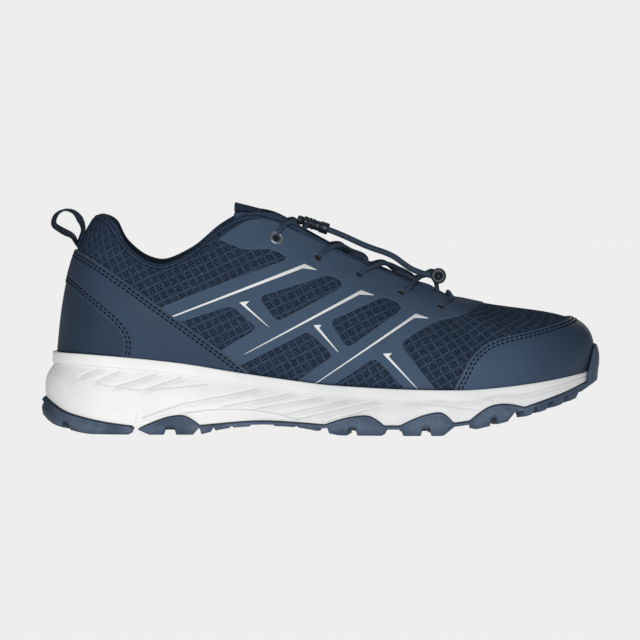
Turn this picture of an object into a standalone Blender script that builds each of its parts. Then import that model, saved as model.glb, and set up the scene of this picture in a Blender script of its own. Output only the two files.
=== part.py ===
"""Low-cut hiking shoe for the right foot, built as its maker assembles it.

Rubber outsole, foam midsole, insole, hollow mesh upper with its bonded panels, tongue, elastic lace
with a cord lock, eyelets and pull loop. Sizes are in millimetres and become metres when a mesh is
made. The toe points along +X, the outer side of the foot along -Y, and the floor is z = 0.
"""

import math
from collections import namedtuple

import bmesh
import bpy
import numpy as np
from mathutils import Vector

MM = 0.001
SHARP_EDGE = 35
CUT_REACH = 90.0

# Driving sizes of the shoe
LENGTH = 297.0
BALL_WIDTH = 102.0
INSTEP_HEIGHT = 116.0
HEEL_HEIGHT = 110.5

# Wall of the upper, its collar padding, and the gap kept between pieces that touch
WALL = 2.0
COLLAR_PADDING = 6.5
PADDING_RISE = (0.45, 0.95)
PADDING_END = (0.36, 0.5)
GAP = 0.3
LIP_ANGLES = (60, 120)
UPPER_COLUMNS = 56
UPPER_ROWS = 6
SOLE_COLUMNS = 80

# Sole seen from above: station in per cent of the length from the heel, half-breadths of the outer
# and inner side in per cent of the ball width
Outline = namedtuple("Outline", "station lateral medial")
SOLE_OUTLINE = [
    Outline(0.8, -1.0, -1.0),
    Outline(3.5, -22.0, 20.0),
    Outline(8.0, -33.5, 31.0),
    Outline(14.5, -39.0, 37.0),
    Outline(23.0, -40.5, 37.5),
    Outline(33.0, -40.5, 35.0),
    Outline(45.0, -43.0, 34.5),
    Outline(57.0, -48.0, 40.0),
    Outline(67.0, -51.0, 48.0),
    Outline(75.0, -50.5, 50.7),
    Outline(83.5, -45.0, 50.2),
    Outline(90.5, -35.0, 44.0),
    Outline(95.5, -21.0, 32.5),
    Outline(98.5, 8.0, 8.0),
]

# Edge of the opening, from the heel (0) to the front of the throat (100) in per cent of the way
# round one side: station, half-width in per cent of the ball width, and height in per cent of the top
# line, which is the heel height behind the ankle and the instep height in front of it
Rim = namedtuple("Rim", "way station half height")
OPENING_RIM = [
    Rim(0, 9.3, 0.0, 102.2),
    Rim(5, 10.2, 13.0, 102.0),
    Rim(10, 12.0, 22.5, 99.0),
    Rim(16, 15.0, 29.5, 87.9),
    Rim(22, 19.2, 33.0, 80.2),
    Rim(27, 22.6, 33.5, 78.6),
    Rim(33, 27.4, 31.2, 83.4),
    Rim(40, 33.0, 26.6, 94.4),
    Rim(45, 37.5, 23.0, 100.2),
    Rim(50, 41.6, 20.0, 99.6),
    Rim(56, 47.0, 17.8, 92.2),
    Rim(64, 54.0, 15.8, 82.6),
    Rim(75, 62.8, 13.8, 72.6),
    Rim(86, 69.5, 11.5, 65.2),
    Rim(94, 73.2, 7.5, 61.6),
    Rim(100, 74.6, 0.0, 61.0),
]
ANKLE = (0.20, 0.45)

# How each section of the last leaves the sole and reaches the opening: rise and swell pull the wall
# up and out above the sole, reach and drop round it over below the opening; inset is its setback
# from the sole's edge
Section = namedtuple("Section", "way rise swell reach drop inset")
LAST_SECTIONS = [
    Section(0, 25, -2.0, 13.0, 20, 7.0),
    Section(12, 22, 2.0, 9.0, 20, 6.0),
    Section(25, 19, 5.0, 6.0, 17, 4.8),
    Section(38, 24, 5.0, 11.0, 16, 4.2),
    Section(50, 28, 4.5, 13.5, 16, 3.8),
    Section(64, 28, 6.0, 13.5, 13, 3.4),
    Section(76, 29, 7.5, 13.0, 12, 3.0),
    Section(88, 33, 10.0, 21.0, 12.5, 2.4),
    Section(100, 38, 12.0, 40.0, 11, 1.5),
]

# Heights along the sole: the feather line where upper meets midsole, the footbed, the underside of
# the foam, and the ground side of the lugs
Profile = namedtuple("Profile", "station feather footbed foam tread")
SOLE_PROFILE = [
    Profile(0.0, 42.5, 31.0, 20.0, 9.5),
    Profile(2.0, 42.3, 30.5, 16.0, 4.4),
    Profile(4.0, 42.3, 30.0, 12.4, 2.2),
    Profile(7.5, 42.2, 28.5, 9.2, 0.4),
    Profile(9.0, 42.0, 28.0, 8.2, 0.0),
    Profile(15.5, 40.7, 27.0, 5.2, 0.0),
    Profile(28.5, 36.3, 25.5, 5.2, 0.0),
    Profile(32.0, 34.5, 25.0, 6.2, 2.6),
    Profile(40.0, 30.9, 23.5, 7.8, 4.6),
    Profile(46.0, 28.5, 22.0, 7.0, 4.0),
    Profile(51.0, 26.7, 20.5, 5.9, 1.4),
    Profile(53.5, 26.2, 19.5, 5.6, 0.0),
    Profile(62.0, 24.9, 17.0, 5.6, 0.0),
    Profile(71.5, 24.2, 16.0, 6.4, 0.0),
    Profile(76.0, 24.2, 16.2, 8.0, 2.4),
    Profile(83.0, 25.6, 18.4, 12.2, 7.6),
    Profile(89.0, 27.6, 21.6, 17.4, 13.0),
    Profile(94.0, 29.8, 25.0, 22.4, 17.2),
    Profile(97.0, 31.2, 28.4, 26.0, 19.6),
    Profile(100.0, 32.2, 31.0, 29.5, 23.4),
]

# Rubber pods that climb the side of the foam: where each starts, peaks and ends, and its height
Pod = namedtuple("Pod", "start peak end height")
SOLE_PODS = [
    Pod(18.4, 25.0, 28.6, 6.0),
    Pod(50.8, 58.0, 61.4, 5.4),
    Pod(64.2, 71.0, 73.8, 6.4),
    Pod(76.6, 81.0, 86.4, 5.6),
]
POD_FLAT = 11.6
POD_DEPTH = 15.0

# Side of the midsole: a plain band below the feather line, a step, and slanting ribs under it. Each
# row gives its share of the height below the band, its setback as a multiple of the band's own, and
# how much of the ribs' depth it has
Side = namedtuple("Side", "share setback ribbed")
FOAM_SIDE = [
    Side(0.0, 0.12, 0.0),
    Side(0.28, 0.0, 0.7),
    Side(0.66, 0.30, 1.0),
    Side(1.0, 1.25, 0.3),
]
BAND_HEIGHT = 6.0
BAND_SHARE = 0.45
BAND_STEP = 0.7
RIB_DEPTH = 1.3
RIB_PITCH = 26.0
RIB_LEAN = 3.4
RIB_START = (4.0, 9.0)
RIB_END = (56.0, 66.0)
LEDGE_OUT = 1.2
HEEL_LEDGE = 1.1
LEDGE_IN = 3.4
SPINE_ENDS = (14.0, 84.0)
INSOLE = 4.0

# Rubber under the foam, in a heel part and a forefoot part, and how far it stands out
RUBBER = 2.0
RUBBER_OUT = 0.4
HEEL_RUBBER_OUT = 2.2
HEEL_REACH = 0.18
HEEL_SPLIT = (16.3, 18.3)

# Lugs along the edge, with a pair of blocks in the middle of the sole where there is room, and whether
# a web of rubber fills the space to the next lug down to a shallow notch
Lug = namedtuple("Lug", "start end middle webbed")
LUGS = [
    Lug(0.9, 4.2, False, True),
    Lug(5.6, 15.9, True, False),
    Lug(19.6, 22.2, True, True),
    Lug(24.4, 27.4, True, False),
    Lug(28.9, 30.6, False, False),
    Lug(31.4, 33.8, False, False),
    Lug(34.6, 37.4, False, False),
    Lug(42.0, 45.4, False, False),
    Lug(46.2, 49.6, False, False),
    Lug(51.6, 54.8, True, True),
    Lug(56.6, 61.0, True, False),
    Lug(64.8, 67.9, True, True),
    Lug(69.8, 73.2, True, False),
    Lug(77.2, 80.2, True, True),
    Lug(81.6, 84.4, True, False),
    Lug(87.0, 88.6, False, False),
    Lug(89.8, 91.6, False, False),
    Lug(93.0, 94.8, False, False),
    Lug(95.8, 97.4, False, False),
]
LUG_CELL = 5.0
LUG_DEPTH = 11.0
LUG_BITE = 1.0
WEB_NOTCH = 2.7
WEB_DRAFT = 0.25
MIDDLE_LUG_INSET = 18.0
MIDDLE_LUG_SHARE = 0.84

# Bumper that the forefoot rubber turns up over the toe: half-width round the ring in per cent, height
# share and outer standoff of its rows over the toe cap, and its place in front of the foam below them
Bumper = namedtuple("Bumper", "half share outer")
TOE_BUMPER = [Bumper(2.5, 0.04, 5.3), Bumper(2.0, 0.09, 4.6), Bumper(1.1, 0.15, 3.1)]
BUMPER_HALF = 2.7
BUMPER_COLUMNS = 9
BUMPER_BITE = 1.2
BUMPER_ROOT = 3.3
BUMPER_TUCK = 1.6
BUMPER_CLEAR = 0.35
BUMPER_OUT = 4.1
BUMPER_LIFT = 1.75
# its chin, which runs down into the tread: setback and height over the tread
BumperChin = namedtuple("BumperChin", "inset over")
BUMPER_CHIN = [BumperChin(4.6, 0.6), BumperChin(1.0, 2.3)]
CHIN_BITE = 6.4

# Panels on the upper, as corners seen from the side: station in per cent of the length, height in
# per cent of the instep height. Each is a shell between two offsets of the last
Corner = namedtuple("Corner", "station height")
PANEL_GAP = 0.3
PANEL_LOW = 0.03
TOE_CAP = [
    Corner(73.4, 10.0),
    Corner(73.7, 20.3),
    Corner(75.5, 29.5),
    Corner(78.6, 40.0),
    Corner(82.1, 44.5),
    Corner(89.3, 48.7),
    Corner(94.6, 52.0),
    Corner(104.0, 54.0),
    Corner(104.0, 10.0),
]
TOE_CAP_OUTER = 1.4
QUARTER = [
    Corner(-2.0, 99.0),
    Corner(6.8, 84.3),
    Corner(21.4, 60.5),
    Corner(27.7, 47.7),
    Corner(37.5, 27.6),
    Corner(38.4, 18.0),
    Corner(15.9, 20.0),
    Corner(15.9, 34.9),
    Corner(16.4, 40.9),
    Corner(14.6, 48.7),
    Corner(11.0, 56.9),
    Corner(5.2, 72.0),
    Corner(-2.0, 84.0),
]
QUARTER_OUTER = 1.4
HEEL_COUNTER = [
    Corner(-2.0, 82.6),
    Corner(4.8, 71.2),
    Corner(10.5, 56.4),
    Corner(14.1, 48.2),
    Corner(15.8, 40.9),
    Corner(15.3, 34.9),
    Corner(15.3, 20.0),
    Corner(-2.0, 20.0),
]
COUNTER_OUTER = 1.1
EYESTAY = [
    Corner(31.8, 112.0),
    Corner(31.8, 88.4),
    Corner(34.3, 85.7),
    Corner(38.9, 84.9),
    Corner(41.4, 84.8),
    Corner(44.1, 81.1),
    Corner(22.7, 59.2),
    Corner(29.0, 46.6),
    Corner(39.0, 26.4),
    Corner(39.6, 12.0),
    Corner(71.4, 12.0),
    Corner(71.4, 21.2),
    Corner(64.8, 39.5),
    Corner(64.8, 41.8),
    Corner(67.1, 47.7),
    Corner(72.1, 53.2),
    Corner(76.8, 55.1),
    Corner(79.3, 60.1),
    Corner(79.3, 112.0),
]
EYESTAY_OUTER = 0.9
EYESTAY_WINDOWS = {
    "ankle": [Corner(25.6, 51.4), Corner(33.9, 58.7), Corner(38.8, 47.7), Corner(32.5, 38.6)],
    "instep": [
        Corner(39.1, 62.4),
        Corner(51.4, 72.0),
        Corner(53.9, 69.0),
        Corner(46.4, 58.3),
        Corner(42.5, 52.3),
    ],
    "arch": [Corner(36.6, 31.3), Corner(47.9, 46.8), Corner(52.1, 36.3), Corner(45.7, 24.6)],
    "waist": [Corner(52.0, 51.9), Corner(60.7, 61.4), Corner(64.3, 58.6), Corner(55.2, 40.4)],
    "ball": [Corner(53.2, 22.8), Corner(60.0, 33.8), Corner(65.0, 21.4)],
}

# Lace, from the top eyelet to the front one: station and height of each eyelet on the side, the lift
# of the lace over it, and the station where the lace turns over the throat's edge
Eyelet = namedtuple("Eyelet", "station height lift edge")
EYELETS = [
    Eyelet(42.2, 89.2, 4.0, 44.5),
    Eyelet(49.6, 80.1, 3.4, 52.7),
    Eyelet(57.0, 72.3, 3.4, 60.5),
    Eyelet(64.5, 64.1, 3.4, 68.2),
    Eyelet(71.6, 58.2, 4.8, 73.2),
]
LACE_RADIUS = 1.5
CORD_STEP = 6.6
LACE_CLEAR = 0.6
LACE_RIM = (2.2, 2.6)
RIM_SHARE = 0.98
EYELET_INNER = 1.9
EYELET_OUTER = 3.4
EYELET_THICK = 0.8
EYELET_SIDES = 10
EYELET_LIFT = 0.3
TAIL_BACK = -6.5
TAIL_UP = 0.0
TAIL_RISE = -0.6
TAIL_CLEAR = 1.3
DIVE_SHARE = 0.66
DIVE_BACK = 2.2

# Tongue: the ways round the opening of its rows, how far it reaches under the throat's edges, and
# the rows of its free top, each shifted from the one below
TONGUE = 4.0
TONGUE_GAP = 0.6
TONGUE_WAYS = (0.94, 0.86, 0.78, 0.71, 0.64, 0.57, 0.51)
TONGUE_UNDER = (0.84, 0.92, 1.0)
TONGUE_COLUMNS = 11
TONGUE_DIP = (1.0, 3.5)
TongueTop = namedtuple("TongueTop", "back up width")
TONGUE_TOP = [TongueTop(8.0, 2.4, 0.80), TongueTop(7.5, 1.1, 0.95), TongueTop(7.0, 0.5, 0.92)]

# Webbing: a tab over the tongue's top, and a finger loop behind the heel as a route of x, z points
# between its foot and its head, which lies on the heel
WEBBING = 1.2
TAB_LIFT = 0.4
TAB_ROWS = 3
TAB_SPAN = 2
LOOP_WIDTH = 11.0
LOOP_FOOT = 0.78
LOOP_FOOT_LIFT = 3.0
LOOP_HEAD = (0.885, 0.84, 0.80)
LOOP_HEAD_LIFT = 1.25
LOOP_ROWS = 23
LoopPoint = namedtuple("LoopPoint", "x z")
PULL_LOOP = [
    LoopPoint(-132.6, 102.4),
    LoopPoint(-137.8, 105.5),
    LoopPoint(-141.6, 110.0),
    LoopPoint(-140.2, 114.8),
    LoopPoint(-135.8, 117.3),
    LoopPoint(-130.8, 116.1),
    LoopPoint(-127.6, 112.2),
]

# Cord lock on the lace, and the doubled free cord that runs from it to the cord end
LOCK_CENTRE = (-2.6, -4.0, 109.5)
LOCK_SLOPE = 18.5
LOCK_LENGTH = 13.4
LOCK_RADIUS = 3.1
LOCK_RIB = 0.5
LockRow = namedtuple("LockRow", "along groove")
LOCK_BARREL = [
    LockRow(-1.0, 1),
    LockRow(-0.85, 0),
    LockRow(-0.54, 0),
    LockRow(-0.46, 1),
    LockRow(0.31, 1),
    LockRow(0.38, 0),
    LockRow(0.85, 0),
    LockRow(1.0, 1),
]
PLUNGER_LENGTH = 3.2
PLUNGER_RADIUS = 2.3
ROUND_SIDES = 12
CORD_SPREAD = 1.85
RoutePoint = namedtuple("RoutePoint", "x z")
CORD_ROUTE = [
    RoutePoint(4.2, 107.1),
    RoutePoint(8.5, 105.4),
    RoutePoint(13.3, 103.4),
    RoutePoint(18.5, 101.0),
    RoutePoint(23.9, 98.6),
    RoutePoint(29.2, 96.6),
    RoutePoint(34.5, 94.8),
    RoutePoint(39.6, 92.4),
    RoutePoint(44.0, 89.2),
    RoutePoint(48.4, 86.2),
    RoutePoint(53.4, 84.1),
    RoutePoint(58.6, 82.6),
]
CORD_Y = -4.0
CORD_END_CENTRE = (63.0, -4.0, 82.4)
CORD_END_RADIUS = 4.1
CORD_END_LENGTH = 9.0

# Centre line of the opening, which swings to the inner side towards the toe
Centre = namedtuple("Centre", "station y")
OPENING_CENTRE = [Centre(0, -1.0), Centre(30, -1.0), Centre(55, 0.0), Centre(75, 2.0), Centre(100, 5.0)]

COLOURS = {
    "rubber": (0.075, 0.105, 0.16, 0.75),
    "foam": (0.78, 0.78, 0.78, 0.6),
    "mesh": (0.02, 0.034, 0.06, 0.85),
    "synthetic": (0.045, 0.07, 0.115, 0.5),
    "lining": (0.012, 0.02, 0.035, 0.9),
    "webbing": (0.025, 0.042, 0.075, 0.8),
    "cord": (0.03, 0.05, 0.085, 0.7),
    "plastic": (0.012, 0.016, 0.026, 0.3),
    "metal": (0.16, 0.19, 0.24, 0.35),
}


def clear_scene():
    for obj in list(bpy.data.objects):
        bpy.data.objects.remove(obj)


def material(name, kind):
    """The finish of one piece: its colour, roughness and, on the eyelets, metal."""
    red, green, blue, rough = COLOURS[kind]
    made = bpy.data.materials.new(name)
    made.use_nodes = True
    shader = made.node_tree.nodes["Principled BSDF"]
    shader.inputs["Base Color"].default_value = (red, green, blue, 1.0)
    shader.inputs["Roughness"].default_value = rough
    shader.inputs["Metallic"].default_value = 1.0 if kind == "metal" else 0.0
    made.diffuse_color = (red, green, blue, 1.0)
    return made


# Curves through tables

def curve_through(knots, values, at):
    """Smooth curve through a table, whose slope at a row leans on the rows beside it."""
    knots, values, at = np.asarray(knots, float), np.asarray(values, float), np.asarray(at, float)
    step = np.diff(knots)[:, None]
    secant = np.diff(values, axis=0) / step
    slope = np.vstack([secant[:1], secant[-1:]])
    inner = (secant[:-1] * step[1:] + secant[1:] * step[:-1]) / (step[:-1] + step[1:])
    slope = np.vstack([slope[:1], inner, slope[1:]])
    row = np.clip(np.searchsorted(knots, at, side="right") - 1, 0, len(step) - 1)
    width = step[row]
    s = ((at - knots[row])[:, None]) / width
    start, end = values[row], values[row + 1]
    return (
        start * (1 + 2 * s) * (1 - s) ** 2
        + slope[row] * width * s * (1 - s) ** 2
        + end * s * s * (3 - 2 * s)
        + slope[row + 1] * width * s * s * (s - 1)
    )


def closed_curve(knots, values, at, period):
    """The same for a ring, whose table is wrapped past both of its ends."""
    wrap = 3
    knots, values = np.asarray(knots, float), np.asarray(values, float)
    knots = np.concatenate([knots[-wrap:] - period, knots, knots[:wrap] + period])
    values = np.vstack([values[-wrap:], values, values[:wrap]])
    return curve_through(knots, values, np.mod(at, period))


def both_sides(table):
    """Knots and rows of a heel-to-toe table, taken down the outer side and back up the inner."""
    rows = np.array(table, float)
    ways = np.concatenate([rows[:, 0], 200 - rows[-2:0:-1, 0]]) / 200
    return ways, np.vstack([rows[:, 1:], rows[-2:0:-1, 1:]])


def station_x(station):
    return (np.asarray(station, float) / 100 - 0.5) * LENGTH


def x_station(x):
    return (np.asarray(x, float) / LENGTH + 0.5) * 100


def profile(column, x):
    """A height of SOLE_PROFILE at these x."""
    rows = np.array(SOLE_PROFILE, float)
    where = np.clip(x_station(x), rows[0, 0], rows[-1, 0])
    heights = curve_through(rows[:, 0], rows[:, [Profile._fields.index(column)]], where)[:, 0]
    return np.maximum(heights, 0.0)


def centre_y(x):
    rows = np.array(OPENING_CENTRE, float)
    return curve_through(rows[:, 0], rows[:, 1:], np.clip(x_station(x), 0, 100))[:, 0]


def way_round(t):
    """Share of the way from heel to toe, the same on both sides."""
    return 1 - np.abs(1 - 2 * np.mod(t, 1.0))


def smooth(value, low, high):
    share = np.clip((value - low) / (high - low), 0, 1)
    return share * share * (3 - 2 * share)


# The sole's outline, as a ring from the heel down the outer side to the toe and back

def outline_samples(count=1600):
    rows = np.array(SOLE_OUTLINE, float)
    x = station_x(rows[:, 0])
    outer = np.column_stack([x, rows[:, 1] * BALL_WIDTH / 100])
    inner = np.column_stack([x, rows[:, 2] * BALL_WIDTH / 100])
    corners = np.vstack([outer, inner[-2:0:-1]])
    chord = np.linalg.norm(np.roll(corners, -1, axis=0) - corners, axis=1)
    knots = np.concatenate([[0], np.cumsum(chord)])
    toe = knots[len(rows) - 1]
    period = knots[-1]
    at = np.concatenate([np.linspace(0, toe, count), np.linspace(toe, period, count)[1:]])
    points = closed_curve(knots[:-1], corners, at, period)
    run = np.concatenate([[0], np.cumsum(np.linalg.norm(np.diff(points, axis=0), axis=1))])
    half = run[count - 1]
    way = np.where(run <= half, run / half / 2, 0.5 + (run - half) / (run[-1] - half) / 2)
    return way, points


RING_WAY, RING_POINTS = outline_samples()


def sole_ring(t):
    """Points of the sole's outline at ring positions t, and the outward direction at each."""
    t = np.mod(t, 1.0)

    def at(where):
        where = np.mod(where, 1.0)
        return np.column_stack([np.interp(where, RING_WAY, RING_POINTS[:, i]) for i in (0, 1)])

    points = at(t)
    along = at(t + 0.002) - at(t - 0.002)
    along /= np.linalg.norm(along, axis=1)[:, None]
    return points, np.column_stack([along[:, 1], -along[:, 0]])


def inset_ring(t, inset):
    """The outline moved inwards, by one amount or one for each position."""
    points, out = sole_ring(t)
    return points - out * np.broadcast_to(np.asarray(inset, float), (len(points),))[:, None]


# The last: the outer face of the upper, from the feather line (v = 0) to the opening (v = 1)

def last_sections(t):
    ways, rows = both_sides(LAST_SECTIONS)
    return closed_curve(ways, rows, t, 1.0).T


def feather_ring(t):
    inset = last_sections(t)[4]
    flat = inset_ring(t, inset)
    return np.column_stack([flat, profile("feather", flat[:, 0])])


def opening_ring(t):
    ways, rows = both_sides(OPENING_RIM)
    inner_side = np.arange(len(ways)) >= len(OPENING_RIM)
    rows[:, 1] *= np.where(inner_side, 1, -1)
    station, half, height = closed_curve(ways, rows, t, 1.0).T
    x = station_x(station)
    y = centre_y(x) + half * BALL_WIDTH / 100
    top_line = HEEL_HEIGHT + (INSTEP_HEIGHT - HEEL_HEIGHT) * smooth(way_round(t), *ANKLE)
    return np.column_stack([x, y, height * top_line / 100])


def last_surface(t, v):
    """Points of the outer face: each column is one sweep from the sole up to the opening."""
    t, v = np.asarray(t, float), np.asarray(v, float)[:, None]
    rise, swell, reach, drop, _ = last_sections(t)
    out = np.column_stack([sole_ring(t)[1], np.zeros(len(t))])
    up = np.array([0.0, 0.0, 1.0])
    low, high = feather_ring(t), opening_ring(t)
    low_pull = low + out * swell[:, None] + up * rise[:, None]
    high_pull = high + out * reach[:, None] - up * drop[:, None]
    rest = 1 - v
    return rest**3 * low + 3 * rest**2 * v * low_pull + 3 * rest * v**2 * high_pull + v**3 * high


def last_normal(t, v):
    step = 0.004
    t, v = np.asarray(t, float), np.asarray(v, float)
    round_it = last_surface(t + step, v) - last_surface(t - step, v)
    high, low = np.minimum(v + step, 1), np.maximum(v - step, 0)
    up_it = last_surface(t, high) - last_surface(t, low)
    normal = np.cross(round_it, up_it)
    return normal / np.linalg.norm(normal, axis=1)[:, None]


def offset_last(t, v, offset):
    """The outer face moved out along its normal; a negative offset goes into the shoe."""
    t, v = np.broadcast_arrays(np.asarray(t, float), np.asarray(v, float))
    offset = np.broadcast_to(np.asarray(offset, float), t.shape)
    return last_surface(t, v) + last_normal(t, v) * offset[:, None]


def wall_at(t, v):
    """Thickness of the wall, padded towards the collar and thin along the throat."""
    padded = smooth(np.asarray(v), *PADDING_RISE) * (1 - smooth(way_round(t), *PADDING_END))
    return WALL + COLLAR_PADDING * padded


def find_on_last(x, z):
    """Ring position and height share of the point of the outer side that shows at x, z from there."""
    ways, shares = np.meshgrid(np.linspace(0.02, 0.49, 95), np.linspace(0.05, 1.0, 60))
    t, v = ways.ravel(), shares.ravel()
    for spread in (0.01, 0.002, 0.0004):
        points = last_surface(t, v)
        best = np.argmin((points[:, 0] - x) ** 2 + (points[:, 2] - z) ** 2)
        near_t, near_v = np.meshgrid(np.linspace(-1, 1, 21), np.linspace(-1, 1, 21))
        t = t[best] + near_t.ravel() * spread
        v = np.clip(v[best] + near_v.ravel() * spread * 2, 0, 1)
    points = last_surface(t, v)
    best = np.argmin((points[:, 0] - x) ** 2 + (points[:, 2] - z) ** 2)
    return t[best], v[best]


# Making solids

def finish_object(name, mesh, kind):
    obj = bpy.data.objects.new(name, mesh)
    bpy.context.scene.collection.objects.link(obj)
    mesh.materials.append(material(name, kind))
    mesh.shade_smooth()
    mesh.set_sharp_from_angle(angle=math.radians(SHARP_EDGE))
    return obj


def helper(obj):
    """Mark a cutter or a piece that is joined to another."""
    obj.hide_render = True
    obj.display_type = "WIRE"
    return obj


def mesh_from(bm, name):
    bmesh.ops.remove_doubles(bm, verts=bm.verts, dist=1e-6)
    bmesh.ops.dissolve_degenerate(bm, edges=bm.edges, dist=1e-7)
    bmesh.ops.recalc_face_normals(bm, faces=bm.faces)
    mesh = bpy.data.meshes.new(name)
    bm.to_mesh(mesh)
    bm.free()
    return mesh


def add_quad(bm, a, b, c, d):
    """Two triangles across the shorter diagonal, so that surfaces side by side fold alike."""
    if (a.co - c.co).length <= (b.co - d.co).length:
        corners = ((a, b, c), (a, c, d))
    else:
        corners = ((a, b, d), (b, c, d))
    for corner in corners:
        bm.faces.new(corner)


def loft(name, rings, kind, closed):
    """Solid skinned over rings of equal count. A closed stack joins its last ring to its first, and an
    open one ends in rings that have folded flat onto the sole's spine."""
    bm = bmesh.new()
    made = [[bm.verts.new(Vector(p) * MM) for p in ring] for ring in rings]
    pairs = list(zip(made, made[1:]))
    if closed:
        pairs.append((made[-1], made[0]))
    for low, high in pairs:
        for i in range(len(low)):
            j = (i + 1) % len(low)
            add_quad(bm, low[i], low[j], high[j], high[i])
    return finish_object(name, mesh_from(bm, name), kind)


def sheet_solid(name, front, back, kind):
    """Solid between two grids of points with the same rows and columns."""
    bm = bmesh.new()
    grids = [[[bm.verts.new(Vector(p) * MM) for p in row] for row in grid] for grid in (front, back)]
    rows, columns = len(front), len(front[0])
    for grid in grids:
        for i in range(rows - 1):
            for j in range(columns - 1):
                add_quad(bm, grid[i][j], grid[i][j + 1], grid[i + 1][j + 1], grid[i + 1][j])
    border = [(0, j) for j in range(columns - 1)] + [(i, columns - 1) for i in range(rows - 1)]
    border += [(rows - 1, j) for j in range(columns - 1, 0, -1)] + [(i, 0) for i in range(rows - 1, 0, -1)]
    for (i, j), (k, l) in zip(border, border[1:] + border[:1]):
        bm.faces.new((grids[0][i][j], grids[0][k][l], grids[1][k][l], grids[1][i][j]))
    return finish_object(name, mesh_from(bm, name), kind)


def prism(name, outlines):
    """Cutter with one or more x, z outlines seen from the side, running across the shoe."""
    bm = bmesh.new()
    for outline in outlines:
        face = bm.faces.new([bm.verts.new((x * MM, -CUT_REACH * MM, z * MM)) for x, z in outline])
        pushed = bmesh.ops.extrude_face_region(bm, geom=[face], use_keep_orig=True)
        verts = [g for g in pushed["geom"] if isinstance(g, bmesh.types.BMVert)]
        bmesh.ops.translate(bm, verts=verts, vec=(0, 2 * CUT_REACH * MM, 0))
    return helper(finish_object(name, mesh_from(bm, name), "plastic"))


def combine(obj, other, operation):
    modifier = obj.modifiers.new(operation.lower() + "_" + other.name, "BOOLEAN")
    modifier.operation = operation
    modifier.solver = "EXACT"
    modifier.object = other


def smooth_route(points, step):
    """Points every step along a smooth curve through a route's own points."""
    points = np.asarray(points, float)
    run = np.concatenate([[0], np.cumsum(np.linalg.norm(np.diff(points, axis=0), axis=1))])
    return curve_through(run, points, np.linspace(0, run[-1], int(round(run[-1] / step)) + 1))


def tube(name, path, radius, resolution):
    """Cord along a path, with filled ends."""
    curve = bpy.data.curves.new(name, "CURVE")
    curve.dimensions = "3D"
    curve.bevel_depth = radius * MM
    curve.bevel_resolution = resolution
    curve.use_fill_caps = True
    spline = curve.splines.new("POLY")
    spline.points.add(len(path) - 1)
    for place, p in zip(spline.points, path):
        place.co = (*(np.asarray(p) * MM), 1.0)
    curve.materials.append(material(name, "cord"))
    obj = bpy.data.objects.new(name, curve)
    bpy.context.scene.collection.objects.link(obj)
    return obj


def tube_mesh(name, path, radius):
    """The same as a mesh, so that laces can be joined where they cross."""
    cord = tube(name + "_route", path, radius, 1)
    bm = bmesh.new()
    mesh = bpy.data.meshes.new_from_object(cord)
    bm.from_mesh(mesh)
    bpy.data.objects.remove(cord)
    return finish_object(name, mesh_from(bm, name), "cord")


# Upper: one hollow wall, open at the collar, down the throat and underneath

def ring_positions(count):
    return np.arange(count) / count


def upper_rings():
    t = ring_positions(UPPER_COLUMNS)
    shares = np.linspace(0, 1, UPPER_ROWS + 1)
    outer = [last_surface(t, np.full_like(t, v)) for v in shares]
    inner = [offset_last(t, np.full_like(t, v), -wall_at(t, v)) for v in shares]
    inner[0][:, 2] = outer[0][:, 2]
    middle = (outer[-1] + inner[-1]) / 2
    half = (outer[-1] - inner[-1]) / 2
    over = np.cross(half, np.roll(middle, -1, axis=0) - np.roll(middle, 1, axis=0))
    over *= (np.linalg.norm(half, axis=1) / np.linalg.norm(over, axis=1))[:, None]
    lip = []
    for angle in map(math.radians, LIP_ANGLES):
        lip.append(middle + half * math.cos(angle) + over * math.sin(angle))
    return outer + lip + inner[::-1]


def make_upper():
    return loft("upper", upper_rings(), "mesh", closed=True)


# Panels bonded over the upper, each cut from a shell between two larger forms of the last

def side_outline(corners):
    return [(station_x(c.station), c.height * INSTEP_HEIGHT / 100) for c in corners]


def make_panel(name, corners, outer):
    t = ring_positions(UPPER_COLUMNS)
    shares = np.maximum(np.linspace(0, 1, UPPER_ROWS + 1), PANEL_LOW)
    rings = [offset_last(t, np.full_like(t, v), outer) for v in shares]
    rings += [offset_last(t, np.full_like(t, v), PANEL_GAP) for v in shares[::-1]]
    panel = loft(name, rings, "synthetic", closed=True)
    combine(panel, prism(name + "_outline", [side_outline(corners)]), "INTERSECT")
    return panel


def make_panels():
    make_panel("toe_cap", TOE_CAP, TOE_CAP_OUTER)
    make_panel("quarter_panel", QUARTER, QUARTER_OUTER)
    make_panel("heel_counter", HEEL_COUNTER, COUNTER_OUTER)
    eyestay = make_panel("eyestay", EYESTAY, EYESTAY_OUTER)
    windows = [side_outline(corners) for corners in EYESTAY_WINDOWS.values()]
    combine(eyestay, prism("eyestay_windows", windows), "DIFFERENCE")


# Sole: foam midsole, rubber under it and the insole on top, all lofted on the same outline

def spine(t):
    """Middle line of the sole, kept short of heel and toe, where opposite ring positions meet."""
    half = np.linspace(0, 0.5, 200)
    middle = (sole_ring(half)[0] + sole_ring(1 - half)[0]) / 2
    x = np.clip(np.interp(way_round(t) / 2, half, middle[:, 0]), *station_x(SPINE_ENDS))
    return np.column_stack([x, np.interp(x, middle[:, 0], middle[:, 1])])


def station_ways(stations):
    """Ring positions where the outer side of the outline passes these stations."""
    half = np.linspace(0.0, 0.5, 400)
    return np.interp(station_x(stations), sole_ring(half)[0][:, 0], half)


def sole_positions():
    """Even positions round the sole, the nearest ones moved to where a pod starts, peaks or ends."""
    t = np.arange(SOLE_COLUMNS // 2 + 1) / SOLE_COLUMNS
    for pod in SOLE_PODS:
        for way in station_ways([pod.start, pod.peak, pod.end]):
            t[np.argmin(np.abs(t - way))] = way
    return np.concatenate([t, 1 - t[-2:0:-1]])


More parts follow.
